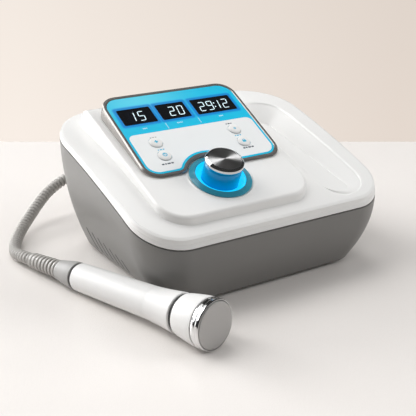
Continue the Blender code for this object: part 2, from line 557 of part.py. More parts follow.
def build_rear(mats, console, rocker_axis):
    (x0, x1), (z0, z1), y = PLATE_X, PLATE_Z, PLATE_Y
    zc = (z0 + z1) / 2
    plate = box("rear_plate", (x0, x1), (y, y + 2.4), (z0, z1), mats["dark"], console, 0.4)
    boolean(plate, box("inlet_cut", (5.7, 34.3), (90, 110), (zc - 10.3, zc + 10.3), None, console, 0))
    boolean(plate, box("switch_cut", (41.7, 55.3), (90, 110), (zc - 10.3, zc + 10.3), None, console, 0))
    fuse_hole = turned("fuse_cut", [(0, 0), (6.3, 0), (6.3, 20), (0, 20)], None, console, (67, 90, zc), 24)
    fuse_hole.rotation_euler = (-pi / 2, 0, 0)
    boolean(plate, fuse_hole)

    socket = box("inlet_socket", (6, 34), (78, y + 3.6), (zc - 10, zc + 10), mats["black"], console, 0.4)
    boolean(socket, box("inlet_flange", (4, 36), (y + 2.7, y + 4.7), (zc - 12, zc + 12), None, console, 0.5), "UNION")
    boolean(socket, box("inlet_space", (8.2, 31.8), (85, 112), (zc - 7.6, zc + 7.6), None, console, 0))
    for x, z in ((20, zc + 3.2), (13.5, zc - 2.0), (26.5, zc - 2.0)):
        boolean(socket, box("inlet_pin", (x - 1.0, x + 1.0), (83, y + 1), (z - 2.0, z + 2.0), None, console, 0), "UNION")

    frame = box("switch_frame", (42, 55), (84, y + 3.6), (zc - 10, zc + 10), mats["black"], console, 0.4)
    boolean(frame, box("switch_flange", (40.4, 56.6), (y + 2.7, y + 4.2), (zc - 11.6, zc + 11.6), None, console, 0.4),
            "UNION")
    boolean(frame, box("switch_space", (43.6, 53.4), (88, 112), (zc - 8.8, zc + 8.8), None, console, 0))
    wings = [(-7.8, 4.3), (0.0, 1.6), (7.8, 4.3), (7.9, -1.6), (0.0, -6.0), (-7.9, -1.6)]   # (z, y) off the pivot
    loops = [[(x, py, pz) for pz, py in wings] for x in (-4.5, 4.5)]
    loft("power_rocker", loops, mats["black"], rocker_axis, smooth=False)

    fuse = empty("fuse_axis", (67, 0, zc), console, Vector((0, 1, 0)).to_track_quat("Z", "X"))
    turned("fuse_cap", [(0, 84), (5.9, 84), (5.9, y + 2.7), (8.0, y + 2.7), (8.0, y + 5.5), (7.4, y + 6.4), (0, y + 6.4)],
           mats["black"], fuse, segments=24)


# ---- assembly ----------------------------------------------------------------------------------
def main():
    mats = {
        "white": material("casing_white", (0.86, 0.86, 0.84), 0.35),
        "grey": material("casing_grey", (0.30, 0.29, 0.28), 0.45),
        "silver": material("panel_silver", (0.62, 0.61, 0.59), 0.3, 1.0),
        "cyan": material("panel_cyan", (0.05, 0.62, 0.85), 0.3),
        "black": material("window_black", (0.01, 0.012, 0.015), 0.15),
        "dark": material("plate_dark", (0.06, 0.06, 0.065), 0.5),
        "teal": material("ring_teal", (0.05, 0.35, 0.45), 0.2),
        "glow": material("bowl_cyan", (0.02, 0.65, 0.9), 0.2),
        "blue": material("skirt_blue", (0.0, 0.22, 0.55), 0.3),
        "chrome": material("polished_chrome", (0.75, 0.75, 0.76), 0.08, 1.0),
        "plate": material("face_alloy", (0.75, 0.75, 0.74), 0.4, 1.0),
        "alloy": material("heatsink_alloy", (0.6, 0.6, 0.6), 0.4, 1.0),
        "steel": material("plain_steel", (0.5, 0.5, 0.5), 0.35, 1.0),
        "rubber": material("black_rubber", (0.03, 0.03, 0.03), 0.8),
        "cuff": material("hose_grey", (0.42, 0.42, 0.41), 0.45),
        "board": material("board_green", (0.02, 0.16, 0.07), 0.5),
    }
    console = empty("console", (*CONSOLE_AT, 0.0))
    tilt = Matrix.Rotation
    panel = empty("panel_plane", (PANEL_X, PANEL_Y, PANEL_Z), console, tilt(PANEL_SLOPE, 3, "X").to_quaternion())
    knob = empty("knob_axis", (KNOB_X, KNOB_Y, tier_z(KNOB_Y)), console, tilt(TIER_SLOPE, 3, "X").to_quaternion())
    spin = empty("knob_spin", (0, 0, 0), knob)
    rocker_axis = empty("rocker_axis", (48.5, PLATE_Y + 2.0, sum(PLATE_Z) / 2), console,
                        tilt(ROCKER_TILT, 3, "X").to_quaternion())
    backwards = Vector((-sin(HANDSET_YAW) * cos(HANDSET_DIP), cos(HANDSET_YAW) * cos(HANDSET_DIP), -sin(HANDSET_DIP)))
    handset = empty("handset_axis", FACE_AT, console, backwards.to_track_quat("Z", "Y"))
    handset_matrix = Matrix.Translation(FACE_AT) @ backwards.to_track_quat("Z", "Y").to_matrix().to_4x4()

    build_lower_casing(mats, console)
    build_upper_casing(mats, console, panel, knob)
    build_panel(mats, panel)
    build_knob(mats, knob, spin)
    build_handset(mats, handset)
    build_hose(mats, console, handset_matrix)
    build_inside(mats, console)
    build_rear(mats, console, rocker_axis)


clean_scene()
PARTS = bpy.data.collections.new("parts")
TOOLS = bpy.data.collections.new("tools")
GUIDES = bpy.data.collections.new("guides")
for collection in (PARTS, TOOLS, GUIDES):
    bpy.context.scene.collection.children.link(collection)
main()
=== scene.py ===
"""Looks of the bench-top ultrasound therapy unit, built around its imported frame.

Numbers are millimetres in the console's own frame unless a name says otherwise: front is -Y,
right is +X and the table is z = 0. CONSOLE, PANEL, KNOB, HANDSET and GLAND are the matrices that
carry a piece from its own millimetres into the frame.
"""
from math import atan, cos, exp, hypot, pi, radians, sin, sqrt, tan

import bmesh
import bpy
from mathutils import Matrix, Vector
from mathutils.geometry import delaunay_2d_cdt

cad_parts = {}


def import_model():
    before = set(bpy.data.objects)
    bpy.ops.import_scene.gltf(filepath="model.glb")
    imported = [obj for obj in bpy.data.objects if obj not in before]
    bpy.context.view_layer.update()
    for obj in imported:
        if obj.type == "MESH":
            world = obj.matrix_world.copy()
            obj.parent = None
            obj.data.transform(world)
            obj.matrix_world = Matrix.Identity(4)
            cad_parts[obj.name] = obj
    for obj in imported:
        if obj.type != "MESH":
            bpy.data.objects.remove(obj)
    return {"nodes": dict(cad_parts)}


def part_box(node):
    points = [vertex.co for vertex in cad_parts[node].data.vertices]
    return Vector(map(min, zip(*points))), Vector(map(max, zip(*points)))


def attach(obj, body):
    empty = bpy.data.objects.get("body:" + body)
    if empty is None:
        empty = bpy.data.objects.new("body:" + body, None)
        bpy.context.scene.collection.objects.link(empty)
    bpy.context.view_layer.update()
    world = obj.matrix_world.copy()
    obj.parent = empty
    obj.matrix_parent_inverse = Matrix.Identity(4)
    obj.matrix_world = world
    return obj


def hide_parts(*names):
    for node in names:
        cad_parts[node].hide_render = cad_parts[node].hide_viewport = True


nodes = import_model()["nodes"]
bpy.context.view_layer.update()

MM = 0.001

# ---- the console's dimensions ------------------------------------------------------------------
HALF_FRONT, HALF_REAR, HALF_DEPTH = 129.0, 131.5, 105.0
CORNER_FRONT, CORNER_REAR = 40.0, 54.0
SEAM_FRONT, SEAM_RISE, SEAM_BOW = 57.6, 0.314, 0.114
WALL, FOOT_HEIGHT = 2.6, 3.0
TUCK_SIDE, TUCK_FRONT, TUCK_REAR, TUCK_CORNER, TUCK_POWER = 27.0, 13.0, 3.0, 13.0, 2.1
COVER_ROUND, CROWN_REACH = 3.4, 42.0     # insets from the seam: end of the edge's round, top of the crown
VENT_COUNT, VENT_REAR_Y, VENT_PITCH, VENT_HALF = 7, 43.3, 11.0, 1.5
VENT_LOW_Z, VENT_TOP_Z, VENT_TOP_DROP = 9.0, 33.0, 1.5
WALL_FRONT_Y, WALL_LONG = -65.0, 112.0   # the side walls' straight stretch
TIER_X, TIER_Y, TIER_CORNER = (-104.0, 48.5), (-91.5, 92.0), 25.0
TIER_FRONT_Z, TIER_SLOPE = 80.68, radians(21.0)
TIER_BACK_Y, TIER_BACK_SLOPE = 64.0, radians(27.0)
TIER_EDGE = 2.6
PANEL_X, PANEL_Y, PANEL_Z, PANEL_SLOPE = -24.4, -43.0, 101.6, radians(27.0)
PANEL_HALF, PANEL_LONG, PANEL_CORNER, RIM = 71.7, 109.5, 16.5, 3.8
KNOB_X, KNOB_Y, KNOB_HOLE, NOTCH_RADIUS, NOTCH_BLEND = -31.2, -54.5, 24.0, 28.9, 12.0
DISPLAYS = {"left": (-61.3, -27.4), "centre": (-21.6, 8.8), "right": (16.3, 60.2)}
DISPLAY_Y = (68.6, 90.0)
KEYS = {"upper_left": (-43.7, 41.6), "lower_left": (-43.7, 24.1),
        "upper_right": (40.3, 41.6), "lower_right": (40.3, 24.1)}
KEY_RADIUS, DIGIT_SLANT = 6.3, radians(8.0)
TROUGH_X, TROUGH_Y, TROUGH_CREASE_X = (61.0, 109.0), (-95.0, 65.0), 91.0
TROUGH_FLOOR_Z, TROUGH_FLOOR_SLOPE, TROUGH_DIP = 70.4, 0.235, 0.11
FACE_AT, HANDSET_YAW, HANDSET_DIP = (-105.8, -164.4, 21.3), radians(16.9), radians(2.95)
GLAND_X, GLAND_Z = -52.0, 60.0
HOSE_RADIUS, HOSE_PITCH, HOSE_GROOVE, STEPS_PER_RIB = 5.8, 4.4, 1.9, 8


def depth_share(y):
    return (y + HALF_DEPTH) / (2 * HALF_DEPTH)


def seam_z(y):
    t = depth_share(y)
    return SEAM_FRONT + 2 * HALF_DEPTH * (SEAM_RISE * t + SEAM_BOW * t * (1 - t))


def skirt_height(y):
    return 9.4 - 5.0 * depth_share(y)


def tier_z(y):
    return TIER_FRONT_Z + (y - TIER_Y[0]) * tan(TIER_SLOPE)


def shift(x, y, z):
    return Matrix.Translation(Vector((x, y, z)) * MM)


def z_along(way, up):
    return Vector(way).to_track_quat("Z", up).to_matrix().to_4x4()


low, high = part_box("lower_casing")
CONSOLE = Matrix.Translation(((low.x + high.x) / 2, (low.y + high.y) / 2, 0.0))
PANEL = CONSOLE @ shift(PANEL_X, PANEL_Y, PANEL_Z) @ Matrix.Rotation(PANEL_SLOPE, 4, "X")
KNOB = CONSOLE @ shift(KNOB_X, KNOB_Y, tier_z(KNOB_Y)) @ Matrix.Rotation(TIER_SLOPE, 4, "X")
BACKWARDS = (-sin(HANDSET_YAW) * cos(HANDSET_DIP), cos(HANDSET_YAW) * cos(HANDSET_DIP), -sin(HANDSET_DIP))
HANDSET = CONSOLE @ shift(*FACE_AT) @ z_along(BACKWARDS, "Y")
GLAND = CONSOLE @ shift(GLAND_X, 0, GLAND_Z) @ z_along((0, 1, 0), "X")


# ---- camera ------------------------------------------------------------------------------------
def link(name, data):
    obj = bpy.data.objects.new(name, data)
    bpy.context.scene.collection.objects.link(obj)
    return obj


AZIMUTH, ELEVATION, DISTANCE = radians(32.2), radians(20.85), 811.2
camera = link("camera", bpy.data.cameras.new("camera"))
camera.data.sensor_width, camera.data.lens = 36.0, 72.8
right = Vector((cos(AZIMUTH), -sin(AZIMUTH), 0))
ahead = Vector((sin(AZIMUTH) * cos(ELEVATION), cos(AZIMUTH) * cos(ELEVATION), -sin(ELEVATION)))
above = right.cross(ahead)
target = Vector((0, 0, 50)) - 8.24 * right - 7.07 * above
camera.location = CONSOLE @ ((target - DISTANCE * ahead) * MM)
camera.rotation_mode = "QUATERNION"
camera.rotation_quaternion = Matrix((right, above, -ahead)).transposed().to_quaternion()
camera.data.clip_start, camera.data.clip_end = 0.01, 20.0
bpy.context.scene.camera = camera


# ---- materials ---------------------------------------------------------------------------------
def bump(tree, height, strength, depth):
    """Raise the shader's surface by a height socket, up to a depth in mm."""
    made = tree.nodes.new("ShaderNodeBump")
    made.inputs["Strength"].default_value = strength
    made.inputs["Distance"].default_value = depth * MM
    tree.links.new(height, made.inputs["Height"])
    tree.links.new(made.outputs["Normal"], tree.nodes["Principled BSDF"].inputs["Normal"])


def material(name, colour, roughness, metallic=0.0, grain=0.0, grain_size=0.6, mottle=0.02, coat=0.0,
             emission=None, glow=0.0, anisotropic=0.0, specular=0.5, spread=0.06, **sockets):
    """Principled material with a fine bump (grain, mm deep) and slow changes of colour and roughness."""
    mat = bpy.data.materials.new(name)
    mat.use_nodes = True
    tree = mat.node_tree
    shader = tree.nodes["Principled BSDF"]
    values = {"Metallic": metallic, "Coat Weight": coat, "Coat Roughness": 0.08,
              "Anisotropic": anisotropic, "Specular IOR Level": specular, **sockets}
    for socket, value in values.items():
        shader.inputs[socket].default_value = value
    if emission:
        shader.inputs["Emission Color"].default_value = (*emission, 1.0)
        shader.inputs["Emission Strength"].default_value = glow
    where = tree.nodes.new("ShaderNodeTexCoord")

    def noise(size, detail=2.0):
        made = tree.nodes.new("ShaderNodeTexNoise")
        made.inputs["Scale"].default_value = 1.0 / (size * MM)
        made.inputs["Detail"].default_value = detail
        tree.links.new(where.outputs["Object"], made.inputs["Vector"])
        return made

    slow = noise(38.0)
    tint = tree.nodes.new("ShaderNodeMix")
    tint.data_type = "RGBA"
    tint.inputs["A"].default_value = (*[c * (1 - mottle) for c in colour], 1.0)
    tint.inputs["B"].default_value = (*[min(1.0, c * (1 + mottle)) for c in colour], 1.0)
    tree.links.new(slow.outputs["Fac"], tint.inputs["Factor"])
    tree.links.new(tint.outputs["Result"], shader.inputs["Base Color"])
    rough = tree.nodes.new("ShaderNodeMapRange")
    rough.inputs["To Min"].default_value = max(0.02, roughness - spread / 2)
    rough.inputs["To Max"].default_value = roughness + spread / 2
    fine = noise(grain_size, 4.0)
    tree.links.new(fine.outputs["Fac"], rough.inputs["Value"])
    tree.links.new(rough.outputs["Result"], shader.inputs["Roughness"])
    if grain:
        bump(tree, fine.outputs["Fac"], 1.0, grain)
    return mat


def math(tree, operation, a, b=None):
    """A Math node; a and b are sockets or numbers."""
    made = tree.nodes.new("ShaderNodeMath")
    made.operation = operation
    for socket, value in zip(made.inputs, (a, b)):
        if isinstance(value, (int, float)):
            socket.default_value = value
        elif value is not None:
            tree.links.new(value, socket)
    return made.outputs[0]


def blend(tree, factor, a, b):
    """Colour mix; a and b are sockets or (r, g, b)."""
    made = tree.nodes.new("ShaderNodeMix")
    made.data_type = "RGBA"
    tree.links.new(factor, made.inputs["Factor"])
    for socket, value in ((made.inputs["A"], a), (made.inputs["B"], b)):
        if isinstance(value, tuple):
            socket.default_value = (*value, 1.0)
        else:
            tree.links.new(value, socket)
    return made.outputs["Result"]


def overlay_material():
    """Printed cyan film with a deeper blue band round each display, and a paler patch at the top left that is
    a painted highlight.
    """
    mat = material("panel_film", (0.03, 0.52, 0.82), 0.22, coat=0.6, grain=0.002, mottle=0.0)
    tree = mat.node_tree
    shader = tree.nodes["Principled BSDF"]
    where = tree.nodes.new("ShaderNodeTexCoord")
    split = tree.nodes.new("ShaderNodeSeparateXYZ")
    tree.links.new(where.outputs["Object"], split.inputs[0])
    x, y = (math(tree, "MULTIPLY", split.outputs[i], 1000.0) for i in (0, 1))

    def painted_highlight_spot(cx, cy, wide, tall):
        dx = math(tree, "DIVIDE", math(tree, "SUBTRACT", x, cx), wide)
        dy = math(tree, "DIVIDE", math(tree, "SUBTRACT", y, cy), tall)
        far = math(tree, "ADD", math(tree, "MULTIPLY", dx, dx), math(tree, "MULTIPLY", dy, dy))
        return math(tree, "POWER", 0.5, far)

    # painted highlight: the film is blended to a paler cyan in a soft spot at the top left
    colour = blend(tree, painted_highlight_spot(-34.0, 101.0, 34.0, 16.0), (0.012, 0.57, 0.86), (0.12, 0.72, 0.92))
    near = None
    for x0, x1 in DISPLAYS.values():
        away = []
        for value, lo, hi in ((x, x0, x1), (y, *DISPLAY_Y)):
            off = math(tree, "SUBTRACT", math(tree, "ABSOLUTE", math(tree, "SUBTRACT", value, (lo + hi) / 2)),
                       (hi - lo) / 2)
            away.append(math(tree, "MAXIMUM", off, 0.0))
        gap = math(tree, "SQRT", math(tree, "ADD", math(tree, "MULTIPLY", away[0], away[0]),
                                      math(tree, "MULTIPLY", away[1], away[1])))
        near = gap if near is None else math(tree, "MINIMUM", near, gap)
    shade = tree.nodes.new("ShaderNodeMapRange")
    shade.interpolation_type = "SMOOTHSTEP"
    for socket, value in zip(("From Min", "From Max", "To Min", "To Max"), (1.6, 4.6, 0.85, 0.0)):
        shade.inputs[socket].default_value = value
    tree.links.new(near, shade.inputs["Value"])
    colour = blend(tree, shade.outputs["Result"], colour, (0.008, 0.22, 0.72))
    tree.links.new(colour, shader.inputs["Base Color"])
    return mat


def spun_metal():
    """Face-turned metal: fine rings round the axis, so that lights smear into wedges."""
    mat = material("spun_chrome", (0.88, 0.88, 0.88), 0.56, 1.0, anisotropic=0.92, mottle=0.01, spread=0.04,
                   **{"Anisotropic Rotation": 0.25})
    tree = mat.node_tree
    shader = tree.nodes["Principled BSDF"]
    tangent = tree.nodes.new("ShaderNodeTangent")
    tangent.direction_type, tangent.axis = "RADIAL", "Z"
    tree.links.new(tangent.outputs["Tangent"], shader.inputs["Tangent"])
    where = tree.nodes.new("ShaderNodeTexCoord")
    rings = tree.nodes.new("ShaderNodeTexWave")
    rings.wave_type, rings.rings_direction = "RINGS", "Z"
    rings.inputs["Scale"].default_value = 900.0
    rings.inputs["Distortion"].default_value = 0.4
    tree.links.new(where.outputs["Object"], rings.inputs["Vector"])
    bump(tree, rings.outputs["Fac"], 0.25, 0.02)
    return mat


def plastic_with_painted_glow(name, face_colour, edge_sheen_colour, roughness, glow):
    """Coloured translucent plastic with a painted glow, so that it looks lit from inside, and a painted
    sheen: paler where it is seen edge-on.
    """
    mat = material(name, face_colour, roughness, coat=0.25, specular=0.3, grain=0.002)
    tree = mat.node_tree
    shader = tree.nodes["Principled BSDF"]
    # painted sheen: the colour turns paler where the surface is seen edge-on, and the same colour is fed to
    # the painted glow
    edge = tree.nodes.new("ShaderNodeLayerWeight")
    edge.inputs["Blend"].default_value = 0.35
    colour = blend(tree, edge.outputs["Facing"], face_colour, edge_sheen_colour)
    tree.links.new(colour, shader.inputs["Base Color"])
    tree.links.new(colour, shader.inputs["Emission Color"])
    shader.inputs["Emission Strength"].default_value = glow
    return mat


MATS = {
    "white": material("white_gloss_plastic", (0.855, 0.85, 0.835), 0.30, grain=0.004, grain_size=0.8,
                      coat=0.25),
    "white_grip": material("satin_white_plastic", (0.75, 0.745, 0.735), 0.34, grain=0.004, grain_size=0.8,
                           coat=0.2),
    "grey": material("grey_textured_plastic", (0.203, 0.198, 0.190), 0.42, grain=0.02, grain_size=0.5),
    "silver": material("brushed_alloy", (0.42, 0.40, 0.38), 0.26, 0.72, grain=0.004, grain_size=0.5),
    "film": overlay_material(),
    "label": material("label_film_white", (0.90, 0.92, 0.92), 0.25, coat=0.5, grain=0.002),
    "black": material("black_window", (0.006, 0.007, 0.009), 0.10, coat=0.8, grain=0.001),
    "digit": material("lit_segment", (0.55, 0.68, 0.72), 0.4, emission=(0.72, 0.93, 1.0), glow=0.62),
    "ghost": material("dark_segment", (0.010, 0.014, 0.024), 0.25),
    "mark_white": material("print_pale", (0.55, 0.80, 0.90), 0.4),
    "mark_cyan": material("print_cyan", (0.03, 0.46, 0.68), 0.4),
    "mark_dark": material("print_dark", (0.05, 0.07, 0.10), 0.4),
    "mark_grey": material("print_grey", (0.38, 0.40, 0.40), 0.4),
    # ring, bowl and sleeve: their glow is painted glow, their pale edges are painted sheen
    "ring": plastic_with_painted_glow("teal_ring_painted_glow", (0.02, 0.18, 0.26), (0.10, 0.40, 0.50), 0.16, 0.14),
    "bowl": plastic_with_painted_glow("cyan_bowl_painted_glow", (0.0, 0.50, 0.80), (0.02, 0.56, 0.84), 0.18, 0.80),
    "skirt": plastic_with_painted_glow("blue_knob_painted_glow", (0.0, 0.17, 0.38), (0.0, 0.30, 0.60), 0.2, 0.30),
    "chrome": material("polished_chrome", (0.72, 0.72, 0.72), 0.06, 1.0, mottle=0.01, spread=0.03),
    "spun": spun_metal(),
    "face": material("blasted_alloy", (0.54, 0.53, 0.52), 0.55, 0.55, grain=0.01, grain_size=0.3),
    "hose": material("hose_rubber", (0.40, 0.385, 0.365), 0.42, grain=0.01, grain_size=0.5),
    "cuff": material("cuff_plastic", (0.36, 0.355, 0.345), 0.5, grain=0.01, grain_size=0.6),
    "rubber": material("black_rubber", (0.022, 0.022, 0.022), 0.5, grain=0.02),
    "shadow_gap": material("seam_gasket", (0.03, 0.031, 0.032), 0.6, grain=0.01),
    "dark_plastic": material("dark_plastic", (0.018, 0.018, 0.02), 0.38, grain=0.01),
    "plate": material("black_powder_coat", (0.035, 0.035, 0.038), 0.5, grain=0.03, grain_size=0.4),
    "steel": material("plain_steel", (0.45, 0.45, 0.45), 0.32, 1.0, grain=0.004),
    "alloy": material("plain_alloy", (0.60, 0.60, 0.60), 0.4, 1.0, grain=0.006),
    "board": material("solder_mask", (0.01, 0.11, 0.045), 0.35, grain=0.01),
}
NODE_FINISH = {
    "dark_plastic": (*(f"digit_module_{place}" for place in DISPLAYS),
                     *(f"key_switch_{place}" for place in KEYS), "buzzer", "gland_nut",
                     "drive_transformer", "fan_frame", "fan_rotor", "inlet_socket",
                     "switch_frame", "power_rocker", "fuse_cap"),
    "board": ("display_board", "handset_board", "main_board"),
    "steel": ("encoder_nut", "encoder_body", "encoder_shaft", "piezo_disc", "power_supply"),
    "alloy": ("heatsink",),
    "rubber": ("foot_front_left", "foot_front_right", "foot_rear_left", "foot_rear_right"),
    "plate": ("rear_plate",),
}
for finish, names in NODE_FINISH.items():
    for node_name in names:
        mesh = nodes[node_name].data
        for i in range(max(1, len(mesh.materials))):
            if len(mesh.materials) <= i:
                mesh.materials.append(MATS[finish])
            else:
                mesh.materials[i] = MATS[finish]


# ---- mesh helpers ------------------------------------------------------------------------------
def arc(cx, cy, r, start, end, steps):
    turn = [radians(start + (end - start) * i / steps) for i in range(steps + 1)]
    return [(cx + r * cos(a), cy + r * sin(a)) for a in turn]


def soften(points, radius, steps=4, closed=False):
    """Round each corner of a (u, v) profile; a point may carry its own radius as a third number."""
    made = []
    last = len(points) - 1
    for i, point in enumerate(points):
        r = point[2] if len(point) > 2 else radius
        here = Vector(point[:2])
        if (i in (0, last) and not closed) or r == 0:
            made.append(tuple(here))
            continue
        before, after = Vector(points[i - 1][:2]), Vector(points[(i + 1) % len(points)][:2])
        a, b = before - here, after - here
        reach = min(r, a.length * 0.48, b.length * 0.48)
        p, q = here + a.normalized() * reach, here + b.normalized() * reach
        for k in range(steps + 1):
            t = k / steps
            made.append(tuple(p * (1 - t) ** 2 + here * 2 * t * (1 - t) + q * t * t))
    return made


def build(name, bm, finish, place=CONSOLE, body="console", stands_for=(), sharp=35.0, weigh=True):
    """Turn a bmesh in millimetres into a finished piece that rides on a body."""
    bmesh.ops.remove_doubles(bm, verts=bm.verts, dist=0.004)
    bmesh.ops.recalc_face_normals(bm, faces=bm.faces)
    bmesh.ops.scale(bm, vec=(MM, MM, MM), verts=bm.verts)
    data = bpy.data.meshes.new(name)
    bm.to_mesh(data)
    bm.free()
    data.materials.append(MATS[finish])
    obj = link(name, data)
    obj.matrix_world = place
    data.shade_smooth()
    data.set_sharp_from_angle(angle=radians(sharp))
    if weigh:
        mod = obj.modifiers.new("weigh", "WEIGHTED_NORMAL")
        mod.keep_sharp = True
    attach(obj, body)
    if stands_for:
        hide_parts(*stands_for)
    return obj


def bridge(bm, rows, ring=False):
    """Quads between neighbouring loops of vertices, or triangles to a loop of one."""
    for a, b in list(zip(rows, rows[1:])) + ([(rows[-1], rows[0])] if ring else []):
        count = max(len(a), len(b))
        for i in range(count):
            j = (i + 1) % count
            if len(a) > 1 and len(b) > 1:
                bm.faces.new((a[i], a[j], b[j], b[i]))
            elif len(b) > 1:
                bm.faces.new((a[0], b[j], b[i]))
            elif len(a) > 1:
                bm.faces.new((a[i], a[j], b[0]))


def skin(bm, loops, ring=False):
    """Surface over equal loops of (x, y, z), closed at both ends or back onto the first loop."""
    rows = [[bm.verts.new(p) for p in loop] for loop in loops]
    bridge(bm, rows, ring)
    if not ring:
        bm.faces.new(rows[0][::-1])
        bm.faces.new(rows[-1])
    return bm


def lathe(bm, profile, segments=96, at=(0, 0, 0), ring=False):
    """Turn a (radius, height) profile about Z; it starts and ends on the axis, or is a closed ring."""
    rows = []
    for r, z in profile:
        if r < 1e-6:
            rows.append([bm.verts.new((at[0], at[1], at[2] + z))])
        else:
            rows.append([bm.verts.new((at[0] + r * cos(2 * pi * i / segments),
                                       at[1] + r * sin(2 * pi * i / segments), at[2] + z))
                         for i in range(segments)])
    bridge(bm, rows, ring)
    return bm


def slab(bm, outline, z0, z1, edge=0.0):
    """Flat plate on a closed (x, y) outline, its upper edge softened."""
    loops = [[(x, y, z0) for x, y in outline]]
    if edge:
        loops.append([(x, y, z1 - edge) for x, y in outline])
        loops.append([(x, y, z1 - edge * 0.3) for x, y in drawn_in(outline, edge * 0.3)])
        loops.append([(x, y, z1) for x, y in drawn_in(outline, edge)])
    else:
        loops.append([(x, y, z1) for x, y in outline])
    return skin(bm, loops)


def drawn_in(outline, distance):
    """Move each point of a counter-clockwise outline inward along its corner's bisector."""
    moved = []
    for i, point in enumerate(outline):
        before, here, after = (Vector(p) for p in (outline[i - 1], point, outline[(i + 1) % len(outline)]))
        a, b = (here - before).normalized(), (after - here).normalized()
        normal = Vector((-a.y - b.y, a.x + b.x)).normalized()
        moved.append(tuple(here + normal * distance / max(0.5, normal.dot(Vector((-a.y, a.x))))))
    return moved


def round_box(x, y, r, steps=6):
    """Counter-clockwise rectangle with round corners."""
    (x0, x1), (y0, y1) = x, y
    return (arc(x1 - r, y0 + r, r, -90, 0, steps) + arc(x1 - r, y1 - r, r, 0, 90, steps)
            + arc(x0 + r, y1 - r, r, 90, 180, steps) + arc(x0 + r, y0 + r, r, 180, 270, steps))


def cut(obj, cutters):
    """Take closed bmeshes, in millimetres in obj's frame, out of obj, and apply it."""
    group = bpy.data.collections.new("cut")
    bpy.context.scene.collection.children.link(group)
    made = []
    for bm in cutters:
        bmesh.ops.recalc_face_normals(bm, faces=bm.faces)
        bmesh.ops.scale(bm, vec=(MM, MM, MM), verts=bm.verts)
        data = bpy.data.meshes.new("cutter")
        bm.to_mesh(data)
        bm.free()
        tool = bpy.data.objects.new("cutter", data)
        group.objects.link(tool)
        tool.matrix_world = obj.matrix_world
        made.append(tool)
    weigh = obj.modifiers.get("weigh")
    if weigh:
        obj.modifiers.remove(weigh)
    mod = obj.modifiers.new("cut", "BOOLEAN")
    mod.operand_type, mod.collection, mod.solver = "COLLECTION", group, "EXACT"
    bpy.context.view_layer.update()
    done = bpy.data.meshes.new_from_object(obj.evaluated_get(bpy.context.evaluated_depsgraph_get()))
    obj.modifiers.clear()
    old, name = obj.data, obj.data.name
    obj.data = done
    bpy.data.meshes.remove(old)
    done.name = name
    done.shade_smooth()
    done.set_sharp_from_angle(angle=radians(35))
    obj.modifiers.new("weigh", "WEIGHTED_NORMAL").keep_sharp = True
    for tool in made:
        bpy.data.objects.remove(tool)
    bpy.data.collections.remove(group)


# ---- the hose, first of all --------------------------------------------------------------------
HOSE_ROUTE = [  # centre line: gland, behind the rear left corner, down to the table, into the boot
    (-52.0, 106.0, 60.0), (-52.0, 119.0, 60.0), (-52.5, 131.0, 59.0), (-57.0, 145.0, 55.2),
    (-66.0, 156.5, 49.6),
    (-79.0, 164.0, 43.0), (-94.5, 166.5, 36.0), (-109.5, 162.5, 29.0), (-123.5, 153.5, 22.0),
    (-137.5, 141.5, 15.5), (-151.0, 127.5, 10.6), (-162.5, 112.0, 7.5), (-171.0, 96.0, 6.3),
    (-175.8, 79.0, 6.5)]


def smooth_route(points, per_span):
    """Catmull-Rom curve through the points."""
    pts = [Vector(p) for p in points]
    pts = [2 * pts[0] - pts[1]] + pts + [2 * pts[-1] - pts[-2]]
    route = []
    for a, b, c, d in zip(pts, pts[1:], pts[2:], pts[3:]):
        for i in range(per_span):
            t = i / per_span
            route.append(0.5 * (2 * b + (c - a) * t + (2 * a - 5 * b + 4 * c - d) * t ** 2
                                + (3 * b - a - 3 * c + d) * t ** 3))
    return route + [pts[-2]]


def even(route, step):
    """The same line with points a constant distance apart."""
    made, need = [route[0]], step
    for a, b in zip(route, route[1:]):
        span = (b - a).length
        while need <= span:
            made.append(a.lerp(b, need / span))
            need += step
        need -= span
    return made


def tube(bm, route, radius, segments=28):
    """Round tube along a route with no twist; radius is a function of the point's number."""
    turn = [2 * pi * k / segments for k in range(segments)]
    side, loops = None, []
    for i, point in enumerate(route):
        along = (route[min(i + 1, len(route) - 1)] - route[max(i - 1, 0)]).normalized()
        side = along.orthogonal() if side is None else side - along * side.dot(along)
        side.normalize()
        up = along.cross(side)
        r = radius(i)
        loops.append([tuple(point + side * r * cos(a) + up * r * sin(a)) for a in turn])
    return skin(bm, loops)


def make_hose():
    frame_to_console = CONSOLE.inverted() @ HANDSET
    into_boot = [frame_to_console @ (Vector((0, 0, s)) * MM) / MM for s in (234.0, 218.0, 202.0)]
    line = smooth_route([Vector(p) for p in HOSE_ROUTE] + into_boot, 24)
    fine = even(line, HOSE_PITCH / STEPS_PER_RIB)

    def radius(i):
        phase = abs(2 * ((i / STEPS_PER_RIB) % 1.0) - 1)
        return HOSE_RADIUS - HOSE_GROOVE * phase ** 4

    hose = build("hose_corrugated", tube(bmesh.new(), fine, radius), "hose",
                 stands_for=["hose"], sharp=75, weigh=False)
    path = [tuple(CONSOLE @ (p * MM)) for p in even(line, 4.0) + [line[-1]]]

    body = soften([(6.3, 104.6), (11.5, 104.6), (11.5, 108.2), (9.8, 109.6), (9.2, 112.4), (7.3, 112.4, 0.2),
                   (7.3, 113.6, 0.2), (9.0, 113.6), (8.7, 116.0), (7.0, 116.0, 0.2), (7.0, 117.2, 0.2),
                   (8.3, 117.2), (8.0, 119.4), (6.9, 119.4, 0.2), (6.9, 120.4, 0.2), (7.6, 120.4),
                   (7.4, 121.6), (6.3, 121.6)], 0.4)
    gland = build("gland_relief", lathe(bmesh.new(), body, 64, ring=True), "hose", GLAND,
                  stands_for=["hose_gland"])


make_hose()


# ---- casing ------------------------------------------------------------------------------------
def line_to(a, b, steps):
    """Evenly spaced points from a to b, both kept."""
    a, b = Vector(a), Vector(b)
    return [tuple(a.lerp(b, i / steps)) for i in range(steps + 1)]


